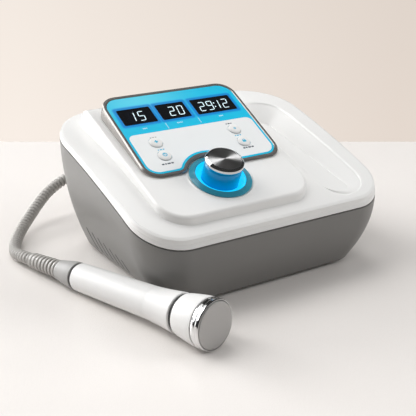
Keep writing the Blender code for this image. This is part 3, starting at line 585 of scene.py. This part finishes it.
def plan(side, front=None, rear=None, tighter=None, steps=22):
    """Console outline, counter-clockwise, drawn in by a distance at the sides, front and rear."""
    front, rear, tighter = (side if v is None else v for v in (front, rear, tighter))
    wf, wr = HALF_FRONT - side, HALF_REAR - side
    yf, yr = -HALF_DEPTH + front, HALF_DEPTH - rear
    rf, rr = max(CORNER_FRONT - tighter, 4.0), max(CORNER_REAR - tighter, 4.0)
    points = line_to((0.0, yf), (wf - rf, yf), 16)[:-1] + arc(wf - rf, yf + rf, rf, -90, 0, steps)
    points += line_to(points[-1], (wr, yr - rr), 24)[1:-1] + arc(wr - rr, yr - rr, rr, 0, 90, steps)
    points += line_to((wr - rr, yr), (0.0, yr), 16)[1:]
    return points + [(-x, y) for x, y in reversed(points[1:-1])]


def base_loop(k, extra=0.0, lift=0.0, drop=0.0):
    """Outline of the base at share k of its height, moved in by a wall's thickness."""
    tuck = (1 - k) ** TUCK_POWER
    outline = plan(TUCK_SIDE * tuck + extra, TUCK_FRONT * tuck + extra, TUCK_REAR * (1 - k) + extra,
                   TUCK_CORNER * tuck + extra)
    return [(x, y, FOOT_HEIGHT + lift + (seam_z(y) - drop - FOOT_HEIGHT - lift) * k) for x, y in outline]


def vent_painted_shade(bm, side, y, top):
    """A strip of painted shade just behind one slot: a dark sheet that makes the slot read dark; it follows
    the wall's tuck.
    """
    rows = []
    for step in range(13):
        z = 8.6 + (top - 8.2) * step / 12
        share = (z - FOOT_HEIGHT) / (seam_z(y) - FOOT_HEIGHT)
        half = HALF_FRONT + (HALF_REAR - HALF_FRONT) * (y - WALL_FRONT_Y) / WALL_LONG
        half -= TUCK_SIDE * (1 - share) ** TUCK_POWER
        rows.append([(side * (half - d), y + w, z)
                     for d, w in ((0.2, -1.55), (0.2, 1.55), (2.2, 1.55), (2.2, -1.55))])
    skin(bm, rows)


def make_base():
    shares = (0.02, 0.04, 0.07, 0.11, 0.16, 0.22, 0.28, 0.35, 0.42, 0.5, 0.58, 0.66, 0.74, 0.82, 0.89, 0.95,
              0.985)
    loops = [base_loop(0.0, 6.0), base_loop(0.0, 3.0), base_loop(0.003, 1.2), base_loop(0.009, 0.35)]
    loops += [base_loop(k, 0.0, 0.0, 0.3) for k in shares]
    loops += [base_loop(0.998, 0.12, 0.0, 0.3), base_loop(1.0, 0.6, 0.0, 0.3), base_loop(1.0, WALL, 0.0, 0.3)]
    loops += [base_loop(k, WALL, WALL) for k in (0.9, 0.7, 0.5, 0.3, 0.15, 0.05)]
    loops += [base_loop(0.0, 6.0, WALL)]
    base = build("base_shell", skin(bmesh.new(), loops), "grey",
                 stands_for=["lower_casing"])
    slots, slot_shade = [], bmesh.new()
    for side in (-1, 1):
        for i in range(VENT_COUNT):
            y, top = VENT_REAR_Y - VENT_PITCH * i, VENT_TOP_Z - VENT_TOP_DROP * i
            outline = round_box((y - VENT_HALF, y + VENT_HALF), (VENT_LOW_Z, top), VENT_HALF - 0.05, 4)
            slots.append(skin(bmesh.new(), [[(x, a, b) for a, b in outline]
                                            for x in (side * 106 - 22, side * 106 + 22)]))
            vent_painted_shade(slot_shade, side, y, top)
    # painted shade: dark strips behind the vent slots, where there is only shade
    build("vent_slot_painted_shade", slot_shade, "shadow_gap")

    def back_cutter(outline, y0, y1=112):
        return skin(bmesh.new(), [[(x, y, z) for x, z in outline] for y in (y0, y1)])

    window = back_cutter(round_box((2.0, 76.0), (20.0, 56.0), 1.5), 90)
    rebate = back_cutter(round_box((-2.3, 80.3), (15.7, 60.3), 2.2), 98.3)
    hole = back_cutter(arc(GLAND_X, GLAND_Z, 8.0, 0, 345, 23), 85)
    cut(base, slots + [window, hole])
    cut(base, [rebate])
    gasket = [[(x, y, seam_z(y) + dz) for x, y in plan(inset)]
              for inset, dz in ((1.5, -0.4), (1.5, 1.0), (2.5, 1.0), (2.5, -0.4))]
    build("seam_gasket", skin(bmesh.new(), gasket, ring=True), "shadow_gap")


make_base()


def reach_in(x, y):
    """Distance from the seam's outline inwards."""
    half = HALF_FRONT + (HALF_REAR - HALF_FRONT) * depth_share(y)
    dx, dy = half - abs(x), min(y + HALF_DEPTH, HALF_DEPTH - y)
    r = CORNER_FRONT if y < 0 else CORNER_REAR
    if dx < r and dy < r:
        return r - hypot(r - dx, r - dy)
    return min(dx, dy)


def deck_z(x, y):
    """Height of the cover's slightly crowned deck, without the tier and the trough."""
    inset = min(max(0.0, reach_in(x, y) - COVER_ROUND), CROWN_REACH)
    crown = (2.6 - 1.6 * depth_share(y)) * (1 - (1 - inset / CROWN_REACH) ** 2)
    return seam_z(y) + skirt_height(y) + crown


def outside(x, y, box_x, box_y, r):
    """Signed distance to a rectangle with round corners, positive outside."""
    cx, cy = sum(box_x) / 2, sum(box_y) / 2
    qx = abs(x - cx) - (box_x[1] - box_x[0]) / 2 + r
    qy = abs(y - cy) - (box_y[1] - box_y[0]) / 2 + r
    return hypot(max(qx, 0.0), max(qy, 0.0)) + min(max(qx, qy), 0.0) - r


def smooth_max(a, b, k):
    h = max(k - abs(a - b), 0.0) / k
    return max(a, b) + h * h * k / 4


def tier_height(x, y):
    """Height of the raised tier with its round upper edge and steep sides."""
    top = -smooth_max(-tier_z(y), -(tier_z(TIER_BACK_Y) - (y - TIER_BACK_Y) * tan(TIER_BACK_SLOPE)), 5.0)
    d = outside(x, y, TIER_X, TIER_Y, TIER_CORNER)
    if d < -TIER_EDGE:
        return top
    if d < 0:
        return top - TIER_EDGE + sqrt(TIER_EDGE ** 2 - (TIER_EDGE + d) ** 2)
    return top - TIER_EDGE - d * 13.3


def trough_size(share):
    """x range, y range and corner radius of the trough, from its rim (0) to its floor (1)."""
    x = (TROUGH_X[0] + 3.0 * share, TROUGH_X[1] + (TROUGH_CREASE_X - TROUGH_X[1]) * share)
    y = (TROUGH_Y[0] + 4.0 * share, TROUGH_Y[1] - 16.0 * share)
    return x, y, (x[1] - x[0]) / 2 - 0.5


def outer_side(x):
    """0 along the trough's inner, soft edge and 1 along its outer, crisp one."""
    t = min(1.0, max(0.0, (x - 68.0) / 30.0))
    return t * t * (3 - 2 * t)


def cover_height(x, y):
    """Height of the white cover: deck, tier, seat round the knob, and the trough's wall and floor."""
    deck = deck_z(x, y)
    w = outside(x, y, *trough_size(0.0))
    if w > 0:
        soft = 5.0 - 3.2 * outer_side(x)
        z = deck - (1.6 * (1 - w / soft) ** 2 if w < soft else 0.0)
        z = smooth_max(z, tier_height(x, y), 1.6)
        away = hypot(x - KNOB_X, (y - KNOB_Y) / cos(TIER_SLOPE))
        in_front = min(1.0, max(0.0, (PANEL_Y - 3.0 - y) / 5.0))
        return z + 0.9 * in_front * exp(-((away - 30.0) / 0.9) ** 2)
    lo, hi = 0.0, 1.0
    if outside(x, y, *trough_size(1.0)) <= 0:
        lo = 1.0
    else:
        for _ in range(22):
            mid = (lo + hi) / 2
            lo, hi = (mid, hi) if outside(x, y, *trough_size(mid)) < 0 else (lo, mid)
    share = lo ** (1 / 0.85)
    floor = TROUGH_FLOOR_Z + (y - TROUGH_Y[0]) * TROUGH_FLOOR_SLOPE + (TROUGH_CREASE_X - x) * TROUGH_DIP
    lip = 0.75 * outer_side(x) * min(1.0, max(0.0, (1.0 - lo) / 0.035)) * min(1.0, max(0.0, lo - 0.2))
    return deck - 1.6 + (floor - deck + 1.6) * share + lip


def make_cover():
    points, edges = [], []

    def loop(outline):
        first = len(points)
        points.extend(Vector(p) for p in outline)
        count = len(outline)
        edges.extend((first + i, first + (i + 1) % count) for i in range(count))

    def long_sides(box_x, box_y, r, steps, pitch):
        corners = round_box(box_x, box_y, r, steps)
        made = []
        for i, p in enumerate(corners):
            q = corners[(i + 1) % len(corners)]
            parts = max(1, round(hypot(q[0] - p[0], q[1] - p[1]) / pitch))
            made += line_to(p, q, parts)[:-1]
        return made

    for inset in (COVER_ROUND, 3.9, 4.8, 6.2, 8.2, 10.6):
        loop(plan(inset))
    for d in (-9.0, -5.0, -3.4, -2.6, -2.2, -1.7, -1.2, -0.75, -0.4, -0.15, -0.02, 0.08, 0.2, 0.34, 0.5, 0.7,
              0.95, 1.3, 1.8, 2.6, 4.0):
        loop(long_sides((TIER_X[0] - d, TIER_X[1] + d), (TIER_Y[0] - d, TIER_Y[1] + d), TIER_CORNER + d,
                        16, 5.0))
    for w in (5.6, 4.2, 3.0, 2.2, 1.5, 1.0, 0.6, 0.3):
        x, y, r = trough_size(0.0)
        loop(long_sides((x[0] - w, x[1] + w), (y[0] - w, y[1] + w), r + w, 14, 5.0))
    for share in (0.0, 0.03, 0.08, 0.15, 0.24, 0.34, 0.45, 0.56, 0.67, 0.78, 0.87, 0.93, 0.962, 0.972, 0.985,
                  1.0):
        loop(long_sides(*trough_size(share), 14, 5.0))
    for r in (KNOB_HOLE, 28.0, 28.8, 29.3, 29.7, 30.0, 30.3, 30.7, 31.3, 32.2, 33.6):
        loop([(KNOB_X + px, KNOB_Y + py * cos(TIER_SLOPE)) for px, py in arc(0, 0, r, 0, 360 - 5, 71)])
    for i in range(-19, 20):
        for j in range(-15, 16):
            x, y = i * 6.6, j * 6.6
            if reach_in(x, y) > 12.5 and abs(outside(x, y, *trough_size(0.0)) - 2) > 5:
                points.append(Vector((x, y)))
    for i in range(54):
        for j in range(14):
            points.append(Vector((-105.5 + i * 2.9 + 0.3 * (j % 2), 62.0 + j * 2.05)))
    verts, _, faces, *_ = delaunay_2d_cdt(points, edges, [], 1, 1e-4)
    bm = bmesh.new()
    made = [bm.verts.new((p.x, p.y, cover_height(p.x, p.y))) for p in verts]
    for face in faces:
        cx, cy = (sum(verts[i][k] for i in face) / 3 for k in (0, 1))
        if hypot(cx - KNOB_X, (cy - KNOB_Y) / cos(TIER_SLOPE)) > KNOB_HOLE:
            bm.faces.new([made[i] for i in face])
    # (inset, share of the skirt's height): inner lip, foot, two-band crease, round to the deck
    profile = soften([(2.6, 0.45, 0), (2.6, 0.11, 0.05), (0.25, 0.11, 0.2), (0.0, 0.17, 0.2),
                      (0.75, 0.50, 0.12), (1.15, 0.53, 0.1), (1.35, 0.90, 0.55), (COVER_ROUND, 1.0, 0)],
                     0.3, 5)
    rows = [[bm.verts.new((x, y, seam_z(y) + rise * skirt_height(y))) for x, y in plan(inset)]
            for inset, rise in profile]
    bridge(bm, rows)
    build("cover_shell", bm, "white", stands_for=["upper_casing"], sharp=50)


make_cover()


# ---- panel -------------------------------------------------------------------------------------
def panel_outline(inset=0.0, steps=18):
    """Rounded panel with a notch for the knob in its lower edge, in the panel's own plane."""
    half, y0, y1 = PANEL_HALF - inset, inset, PANEL_LONG - inset
    r, notch, round_in = PANEL_CORNER - inset, NOTCH_RADIUS + inset, NOTCH_BLEND - inset
    highs = r + 1.0
    cx, cy = KNOB_X - PANEL_X, (KNOB_Y - PANEL_Y) / cos(PANEL_SLOPE)
    rise = y0 + round_in - cy
    across = sqrt((notch + round_in) ** 2 - rise ** 2)
    lean = atan(rise / across) * 180 / pi
    scoop = arc(cx, cy, notch, 180 - lean, lean, 2 * steps)
    entry = arc(cx - across, y0 + round_in, round_in, -90, -lean, steps // 2)
    leave = arc(cx + across, y0 + round_in, round_in, 180 + lean, 270, steps // 2)
    side = arc(half - r, y0 + r, r, -90, 0, steps) + arc(half - highs, y1 - highs, highs, 0, 90, steps)
    return side + [(-x, y) for x, y in reversed(side)] + entry[:-1] + scoop + leave[1:]


def key_holes():
    r = KEY_RADIUS + 0.3
    return [lathe(bmesh.new(), [(0, -4), (r, -4), (r, 3), (0, 3)], 48, (x, y, 0)) for x, y in KEYS.values()]


def make_panel():
    drop = (PANEL_Z - tier_z(PANEL_Y)) * cos(PANEL_SLOPE)
    lean = tan(PANEL_SLOPE - TIER_SLOPE)
    profile = soften([(0.0, -1.1), (1.1, 0.0, 0.4), (RIM - 0.5, 0.0, 0.3), (RIM, -0.5, 0.2), (RIM, -1.8)],
                     0.5, 4)
    loops = [[(x, y, -drop - y * lean + 0.3) for x, y in panel_outline(inset)] for inset in (5.6, 0.5)]
    loops += [[(x, y, -drop - y * lean + 0.6) for x, y in panel_outline(0.0)]]
    loops += [[(x, y, z) for x, y in panel_outline(inset)] for inset, z in profile]
    loops += [[(x, y, -1.8) for x, y in panel_outline(5.6)]]
    build("panel_frame", skin(bmesh.new(), loops, ring=True), "silver", PANEL,
          stands_for=["panel_housing"], sharp=28)

    film = build("panel_film", slab(bmesh.new(), panel_outline(RIM + 0.12), -1.5, -0.5, 0.12), "film", PANEL,
                 stands_for=["panel_overlay"])
    tall = (DISPLAY_Y[0] - 0.1, DISPLAY_Y[1] + 0.1)
    windows = [slab(bmesh.new(), round_box((x0 - 0.1, x1 + 0.1), tall, 1.3), -4, 3)
               for x0, x1 in DISPLAYS.values()]
    cut(film, windows + key_holes())

    # white label field: the panel's shape with an even cyan border, cut straight below the displays
    edge = RIM + 2.2
    field = [p for p in panel_outline(edge) if p[1] < 48.0]
    half = PANEL_HALF - edge
    middle = next(i for i, (p, q) in enumerate(zip(field, field[1:])) if p[0] > half - 1 and q[0] < 1 - half)
    top = arc(half - 6.0, 49.3, 6.0, 0, 90, 8) + arc(6.0 - half, 49.3, 6.0, 90, 180, 8)
    field = field[:middle + 1] + top + field[middle + 1:]
    label = build("panel_label", slab(bmesh.new(), field, -0.55, -0.42, 0.04), "label", PANEL)
    cut(label, key_holes())


make_panel()


# ---- displays ----------------------------------------------------------------------------------
SEGMENTS = {"0": "abcdef", "1": "bc", "2": "abged", "5": "afgcd", "8": "abcdefg", "9": "abcdfg"}


def segment(wide, tall, stroke, which):
    """One bar of a seven-segment digit: a slim hexagon with pointed ends, upright."""
    w, h, s = wide / 2, tall / 2, stroke / 2
    gap = 0.18 * stroke
    if which in "adg":
        y = {"a": h - s, "g": 0.0, "d": s - h}[which]
        a, b = -w + s + gap, w - s - gap
        return [(a, y), (a + s, y - s), (b - s, y - s), (b, y), (b - s, y + s), (a + s, y + s)]
    x = w - s if which in "bc" else s - w
    lo, hi = (gap, h - s - gap) if which in "bf" else (s - h + gap, -gap)
    return [(x, lo), (x + s, lo + s), (x + s, hi - s), (x, hi), (x - s, hi - s), (x - s, lo + s)]


def add_digit(bm, char, cx, cy, wide, tall, stroke, z, thick):
    slant = tan(DIGIT_SLANT)
    for which in SEGMENTS[char]:
        outline = [(cx + x + y * slant, cy + y) for x, y in segment(wide, tall, stroke, which)]
        slab(bm, outline, z, z + thick)


def make_displays():
    wide, tall, stroke, row_y = 6.3, 12.8, 0.85, 78.6
    readings = {"left": (("1", -49.9), ("5", -40.0)), "centre": (("2", -8.0), ("0", 1.2)),
                "right": (("2", 25.0), ("9", 33.9), ("1", 41.4), ("2", 51.0))}
    for place, (x0, x1) in DISPLAYS.items():
        outline = round_box((x0 + 0.1, x1 - 0.1), (DISPLAY_Y[0] + 0.1, DISPLAY_Y[1] - 0.1), 1.2)
        build(f"window_{place}", slab(bmesh.new(), outline, -2.6, -0.3, 0.25), "black", PANEL,
              stands_for=[f"display_window_{place}"])
        lit, dim = bmesh.new(), bmesh.new()
        for char, cx in readings[place]:
            add_digit(lit, char, cx, row_y, wide, tall, stroke, -0.3, 0.05)
            add_digit(dim, "8", cx, row_y, wide, tall, stroke * 0.9, -0.3, 0.02)
        if place == "right":
            for dy in (-2.6, 2.6):
                cx, cy = 39.2 + dy * tan(DIGIT_SLANT), row_y + dy
                slab(lit, round_box((cx - 0.65, cx + 0.65), (cy - 0.7, cy + 0.7), 0.3, 3), -0.3, -0.25)
        build(f"digits_{place}", lit, "digit", PANEL)
        build(f"unlit_segments_{place}", dim, "ghost", PANEL)


make_displays()


def dashes(bm, cx, cy, widths, height, z=-0.42, gap=0.7):
    """A row of short bars that stands for a printed word."""
    x = cx - (sum(widths) + gap * (len(widths) - 1)) / 2
    for w in widths:
        bar = round_box((x, x + w), (cy - height / 2, cy + height / 2), min(w, height) * 0.3, 2)
        slab(bm, bar, z, z + 0.04)
        x += w + gap


def make_print():
    pale, cyan, dark, grey = (bmesh.new() for _ in range(4))
    for x, low_y, high_y in ((-22.2, 56.9, 64.7), (13.0, 57.7, 65.0)):
        slab(pale, round_box((x - 0.25, x + 0.25), (low_y, high_y), 0.2, 2), -0.5, -0.45)
    for x, y, widths in ((-44.7, 61.8, (0.9, 1.3, 0.9)), (-7.8, 62.5, (1.2, 0.8, 1.2, 0.6)),
                         (37.5, 62.7, (1.0, 1.2, 0.8))):
        dashes(pale, x, y, widths, 1.5, -0.5, 0.6)
    dashes(grey, -43.1, 48.6, (1.6, 2.2, 1.4), 1.2)
    dashes(dark, 38.8, 50.3, (1.6, 2.2, 1.4), 1.2)
    for x, y in ((-43.2, 32.2), (39.5, 33.3)):
        dashes(cyan, x, y, (1.3, 2.4, 1.6), 1.3)
    for x, y in ((-45.5, 14.2), (40.8, 15.9)):
        dashes(dark, x, y, (2.4, 1.7, 3.1, 2.4), 1.6)
    for name, bm, finish in (("pale", pale, "mark_white"), ("cyan", cyan, "mark_cyan"),
                             ("dark", dark, "mark_dark"), ("grey", grey, "mark_grey")):
        build(f"print_{name}", bm, finish, PANEL)


make_print()


def make_keys():
    r = KEY_RADIUS
    profile = [(0, -2.6), (r + 0.9, -2.6), (r + 0.9, -2.1), (r, -2.1)]
    profile += [(r, -0.35), (r - 0.12, 0.05), (r - 0.45, 0.38), (r - 1.0, 0.66), (r - 1.8, 0.88),
                (r - 2.8, 1.02), (r - 3.8, 1.08), (0, 1.1)]
    for place, (x, y) in KEYS.items():
        spot = PANEL @ shift(x, y, 0)
        body = f"key_{place}"
        build(f"dome_{place}", lathe(bmesh.new(), profile, 56), "white", spot, body, [body])
        icon = bmesh.new()
        z = 1.09
        if place == "upper_left":       # plus sign
            slab(icon, round_box((-1.9, 1.9), (-0.55, 0.55), 0.3, 2), z, z + 0.06)
            slab(icon, round_box((-0.55, 0.55), (-1.9, 1.9), 0.3, 2), z + 0.01, z + 0.07)
        elif place == "lower_left":     # open ring with a stroke
            lathe(icon, [(1.45, z), (2.25, z), (2.25, z + 0.06), (1.45, z + 0.06)], 32, ring=True)
            slab(icon, round_box((-0.4, 0.4), (-0.2, 2.5), 0.3, 2), z + 0.01, z + 0.07)
        elif place == "upper_right":    # small ring
            lathe(icon, [(0.6, z), (1.25, z), (1.25, z + 0.06), (0.6, z + 0.06)], 24, ring=True)
        else:                           # padlock
            slab(icon, round_box((-1.9, 1.9), (-2.0, 0.5), 0.5, 3), z, z + 0.06)
            shackle = arc(0, 0.4, 1.55, 0, 180, 10) + arc(0, 0.4, 0.95, 180, 0, 10)
            slab(icon, shackle, z + 0.005, z + 0.065)
        build(f"icon_{place}", icon, "mark_cyan", spot, body)


make_keys()


# ---- knob --------------------------------------------------------------------------------------
def make_knob():
    ring = [(23.0, 0.25), (28.1, 0.25), (28.4, 0.9), (28.25, 1.5), (27.8, 1.85)]
    for r in (26.8, 25.5, 24.2):
        z = 1.85 + (27.8 - r) * 0.27
        ring += [(r + 0.35, z), (r + 0.15, z - 0.22), (r - 0.1, z + 0.06)]
    ring += [(23.3, 2.9), (23.0, 2.65)]
    # the ring and bowl shine by painted glow; no lamp is inside them
    build("ring_with_painted_glow", lathe(bmesh.new(), ring, 128, ring=True), "ring", KNOB,
          stands_for=["knob_ring"])
    bowl = soften([(4.9, -6.2), (19.9, -6.2), (19.9, 0.25), (22.75, 0.25), (22.75, 2.4), (22.2, 2.65),
                   (21.5, 1.4), (20.3, 0.35), (17.8, -0.4), (17.3, -4.2), (4.9, -4.2)], 0.4, 4, closed=True)
    build("bowl_with_painted_glow", lathe(bmesh.new(), bowl, 128, ring=True), "bowl", KNOB,
          stands_for=["knob_bowl"])
    skirt = soften([(3.15, 0.5), (6.0, 0.5), (6.0, 8.0), (14.4, 8.0), (14.4, -3.4), (16.7, -3.4, 0.3),
                    (16.9, -3.0, 0.3), (16.9, 13.6), (16.2, 14.9, 0.3), (3.15, 14.9)], 0.3, 3, closed=True)
    build("knob_sleeve", lathe(bmesh.new(), skirt, 128, ring=True), "skirt", KNOB, "knob",
          ["knob_skirt"])
    rim = soften([(14.0, 15.2), (15.6, 15.2, 0.15), (17.15, 16.1, 0.35), (17.5, 16.9, 0.4), (17.5, 18.5, 0.4),
                  (17.15, 19.3, 0.35), (15.5, 21.0, 0.25), (15.15, 20.9, 0.1), (15.15, 20.0)], 0.3, 4)
    rim += [(14.0, 20.0)]
    build("knob_rim", lathe(bmesh.new(), rim, 128, ring=True), "chrome", KNOB, "knob",
          ["knob_cap"])
    top = [(0, 15.4), (15.05, 15.4), (15.05, 20.62), (14.8, 20.8), (10.0, 20.84), (4.0, 20.87), (0.4, 20.88),
           (0, 20.88)]
    build("knob_top", lathe(bmesh.new(), top, 128), "spun", KNOB, "knob")


make_knob()


# ---- applicator --------------------------------------------------------------------------------
def make_handset():
    def turned(name, profile, finish, stands_for, ring=True, r=0.3, segments=112):
        bm = lathe(bmesh.new(), soften(profile, r, 4, closed=ring), segments, ring=ring)
        build(name, bm, finish, HANDSET, stands_for=stands_for)

    face = [(0, 0.0), (17.5, 0.05, 2.0), (19.0, 0.25, 0.6), (19.4, 0.8), (19.4, 3.6), (0, 3.6)]
    turned("treatment_face", face, "face", ["handset_face"], ring=False, r=0.4)
    bezel = [(19.65, 1.3), (19.9, 0.75), (20.5, 0.8), (20.95, 1.7), (21.0, 3.6), (20.75, 4.1, 0.15),
             (20.75, 4.5, 0.15), (21.0, 5.0), (21.0, 7.0), (20.55, 8.3), (20.2, 9.0), (17.0, 9.0),
             (17.0, 3.9), (19.65, 3.9)]
    turned("chrome_bezel", bezel, "chrome", ["handset_bezel"], r=0.25)
    head = [(17.2, 9.3), (20.2, 9.3, 0.15), (20.62, 9.9), (20.45, 13.1, 3), (19.7, 18.8, 4), (18.6, 25.3, 4),
            (17.7, 30.4, 3), (17.1, 32.3, 0.8), (16.3, 32.8, 0.3), (12.0, 32.8), (12.0, 31), (15.0, 28.6),
            (17.0, 18)]
    turned("head_shell", head, "white_grip", ["handset_head"])
    turned("neck_ring", [(11.0, 33), (15.7, 33), (15.7, 35.7), (11.0, 35.7)], "rubber",
           ["handset_neck_ring"], r=0.1)
    grip = [(10.5, 35.9), (16.3, 35.9, 0.3), (17.0, 36.51, 0.5), (16.55, 40.65, 3), (15.3, 51.78, 6),
            (14.25, 64.94, 6), (14.18, 65.29, 0), (14.06, 65.44, 0), (14.18, 65.59, 0), (13.8, 85.17, 8),
            (13.4, 113.5, 9), (12.95, 138.79, 8), (12.62, 155.58, 1), (12.0, 157, 0.8), (9.5, 157),
            (10.5, 135.75)]
    turned("grip_shell", grip, "white_grip", ["handset_grip"])
    turned("rear_ring", [(8.5, 157.2), (11.3, 157.2), (11.3, 159.1), (8.5, 159.1)], "rubber",
           ["handset_rear_ring"], r=0.1)
    cuff = [(9.0, 159.3), (11.9, 159.3, 0.3), (12.35, 159.9, 0.3), (12.0, 166.5, 3), (10.4, 175, 3),
            (9.2, 182.4, 0.6), (8.5, 183.2, 0.3), (6.2, 183.2), (6.2, 176), (9.0, 168)]
    turned("cuff_cone", cuff, "cuff", ["handset_cuff"])
    boot = [(6.15, 183.5), (6.7, 183.5)]
    ribs, pitch = 8, 4.85
    for i in range(ribs):
        s, r = 184.3 + pitch * i, 8.5 - 1.25 * i / (ribs - 1)
        boot += [(6.7, s, 0.25), (r - 0.15, s + 0.25, 0.3), (r, s + 1.5, 0.8), (r - 0.2, s + 3.1, 0.4),
                 (6.7, s + 3.3, 0.25)]
    boot += [(6.7, 222.6), (6.15, 222.6)]
    turned("strain_boot", boot, "hose", ["hose_boot"], r=0.2, segments=72)


make_handset()


# ---- rear plate's screws -----------------------------------------------------------------------
def make_screws():
    face_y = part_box("rear_plate")[1].y / MM - CONSOLE.translation.y / MM
    for i, (x, z) in enumerate(((1.6, 19.6), (76.4, 19.6), (1.6, 56.4), (76.4, 56.4))):
        spot = CONSOLE @ shift(x, face_y, z) @ z_along((0, 1, 0), "X")
        head = soften([(0, -0.2), (2.3, -0.2), (2.3, 0.4, 0.3), (1.5, 1.0, 0.5), (0, 1.15)], 0.2)
        screw = build(f"plate_screw_{i + 1}", lathe(bmesh.new(), head, 32), "steel", spot)
        cut(screw, [slab(bmesh.new(), round_box((-1.5, 1.5), (-0.3, 0.3), 0.1, 2), 0.5, 3),
                    slab(bmesh.new(), round_box((-0.3, 0.3), (-1.5, 1.5), 0.1, 2), 0.5, 3)])


make_screws()


# ---- stage and light, in metres ----------------------------------------------------------------
TABLE_HALF, TABLE_FAR = 2.5, 0.372
SOFT_BOX, LAMP_DISTANCE, LAMP_AIM_Z = 1.2, 2.4, 0.06
LAMPS = (  # name, azimuth from straight behind the console, height, watts, seen in glossy surfaces
    ("key", -60, 20, 42.0, True), ("right", 90, 25, 24.5, False), ("top", 0, 60, 17.0, False),
    ("left_high", -90, 62, 17.0, True), ("left_middle", -90, 35, 13.0, True),
    ("left_low", -90, 12, 10.0, True), ("behind_right", 50, 40, 9.0, False),
    ("key_fill", -60, 45, 5.0, True), ("behind_left", -30, 40, 2.6, False),
    ("front", 180, 56, 8.0, False))


def make_stage():
    floor = bpy.data.meshes.new("table")
    side = Vector((right.x, right.y, 0))
    away = Vector((sin(AZIMUTH), cos(AZIMUTH), 0))
    corners = [side * u + away * v for u, v in ((-TABLE_HALF, -TABLE_HALF), (TABLE_HALF, -TABLE_HALF),
                                                (TABLE_HALF, TABLE_FAR), (-TABLE_HALF, TABLE_FAR))]
    centre = CONSOLE.translation
    floor.from_pydata([(centre.x + c.x, centre.y + c.y, 0) for c in corners], [], [(0, 1, 2, 3)])
    floor.materials.append(material("pale_table", (0.785, 0.75, 0.72), 0.28, mottle=0.012, spread=0.08))
    table = link("table", floor)

    # the world is a dim room to the object, and a warm pale backdrop where the camera looks at it; the
    # backdrop is painted light, brighter at the left and darker upwards
    world = bpy.data.worlds.new("studio")
    bpy.context.scene.world = world
    world.use_nodes = True
    tree = world.node_tree
    room = tree.nodes["Background"]
    room.inputs["Color"].default_value = (1.0, 1.0, 1.0, 1.0)
    room.inputs["Strength"].default_value = 0.04
    backdrop = tree.nodes.new("ShaderNodeBackground")
    where = tree.nodes.new("ShaderNodeTexCoord")

    def along(axis, low, high):
        dot = tree.nodes.new("ShaderNodeVectorMath")
        dot.operation = "DOT_PRODUCT"
        dot.inputs[1].default_value = axis
        tree.links.new(where.outputs["Generated"], dot.inputs[0])
        return math(tree, "DIVIDE", math(tree, "SUBTRACT", dot.outputs["Value"], low), high - low)

    # painted light falloff on the backdrop: paler towards the left, darker above the horizon
    across = blend(tree, along(side, -0.217, 0.217), (0.947, 0.863, 0.791), (0.783, 0.694, 0.624))
    tree.links.new(blend(tree, along(above, 0.09, 2.0), across, (0.35, 0.33, 0.32)), backdrop.inputs["Color"])
    seen = tree.nodes.new("ShaderNodeLightPath")
    pick = tree.nodes.new("ShaderNodeMixShader")
    tree.links.new(seen.outputs["Is Camera Ray"], pick.inputs[0])
    tree.links.new(room.outputs[0], pick.inputs[1])
    tree.links.new(backdrop.outputs[0], pick.inputs[2])
    tree.links.new(pick.outputs[0], tree.nodes["World Output"].inputs["Surface"])

    for name, azimuth, height, power, shines in LAMPS:
        data = bpy.data.lights.new(name, "AREA")
        data.shape, data.size, data.energy = "SQUARE", SOFT_BOX, power
        obj = link(name, data)
        obj.visible_glossy = shines
        turn, climb = radians(azimuth), radians(height)
        spot = centre + LAMP_DISTANCE * (side * sin(turn) * cos(climb) + away * cos(turn) * cos(climb)
                                         + Vector((0, 0, sin(climb))))
        obj.location = spot
        obj.rotation_mode = "QUATERNION"
        obj.rotation_quaternion = (centre + Vector((0, 0, LAMP_AIM_Z)) - spot).to_track_quat("-Z", "Y")
    bpy.context.scene.view_settings.view_transform = "Standard"


make_stage()
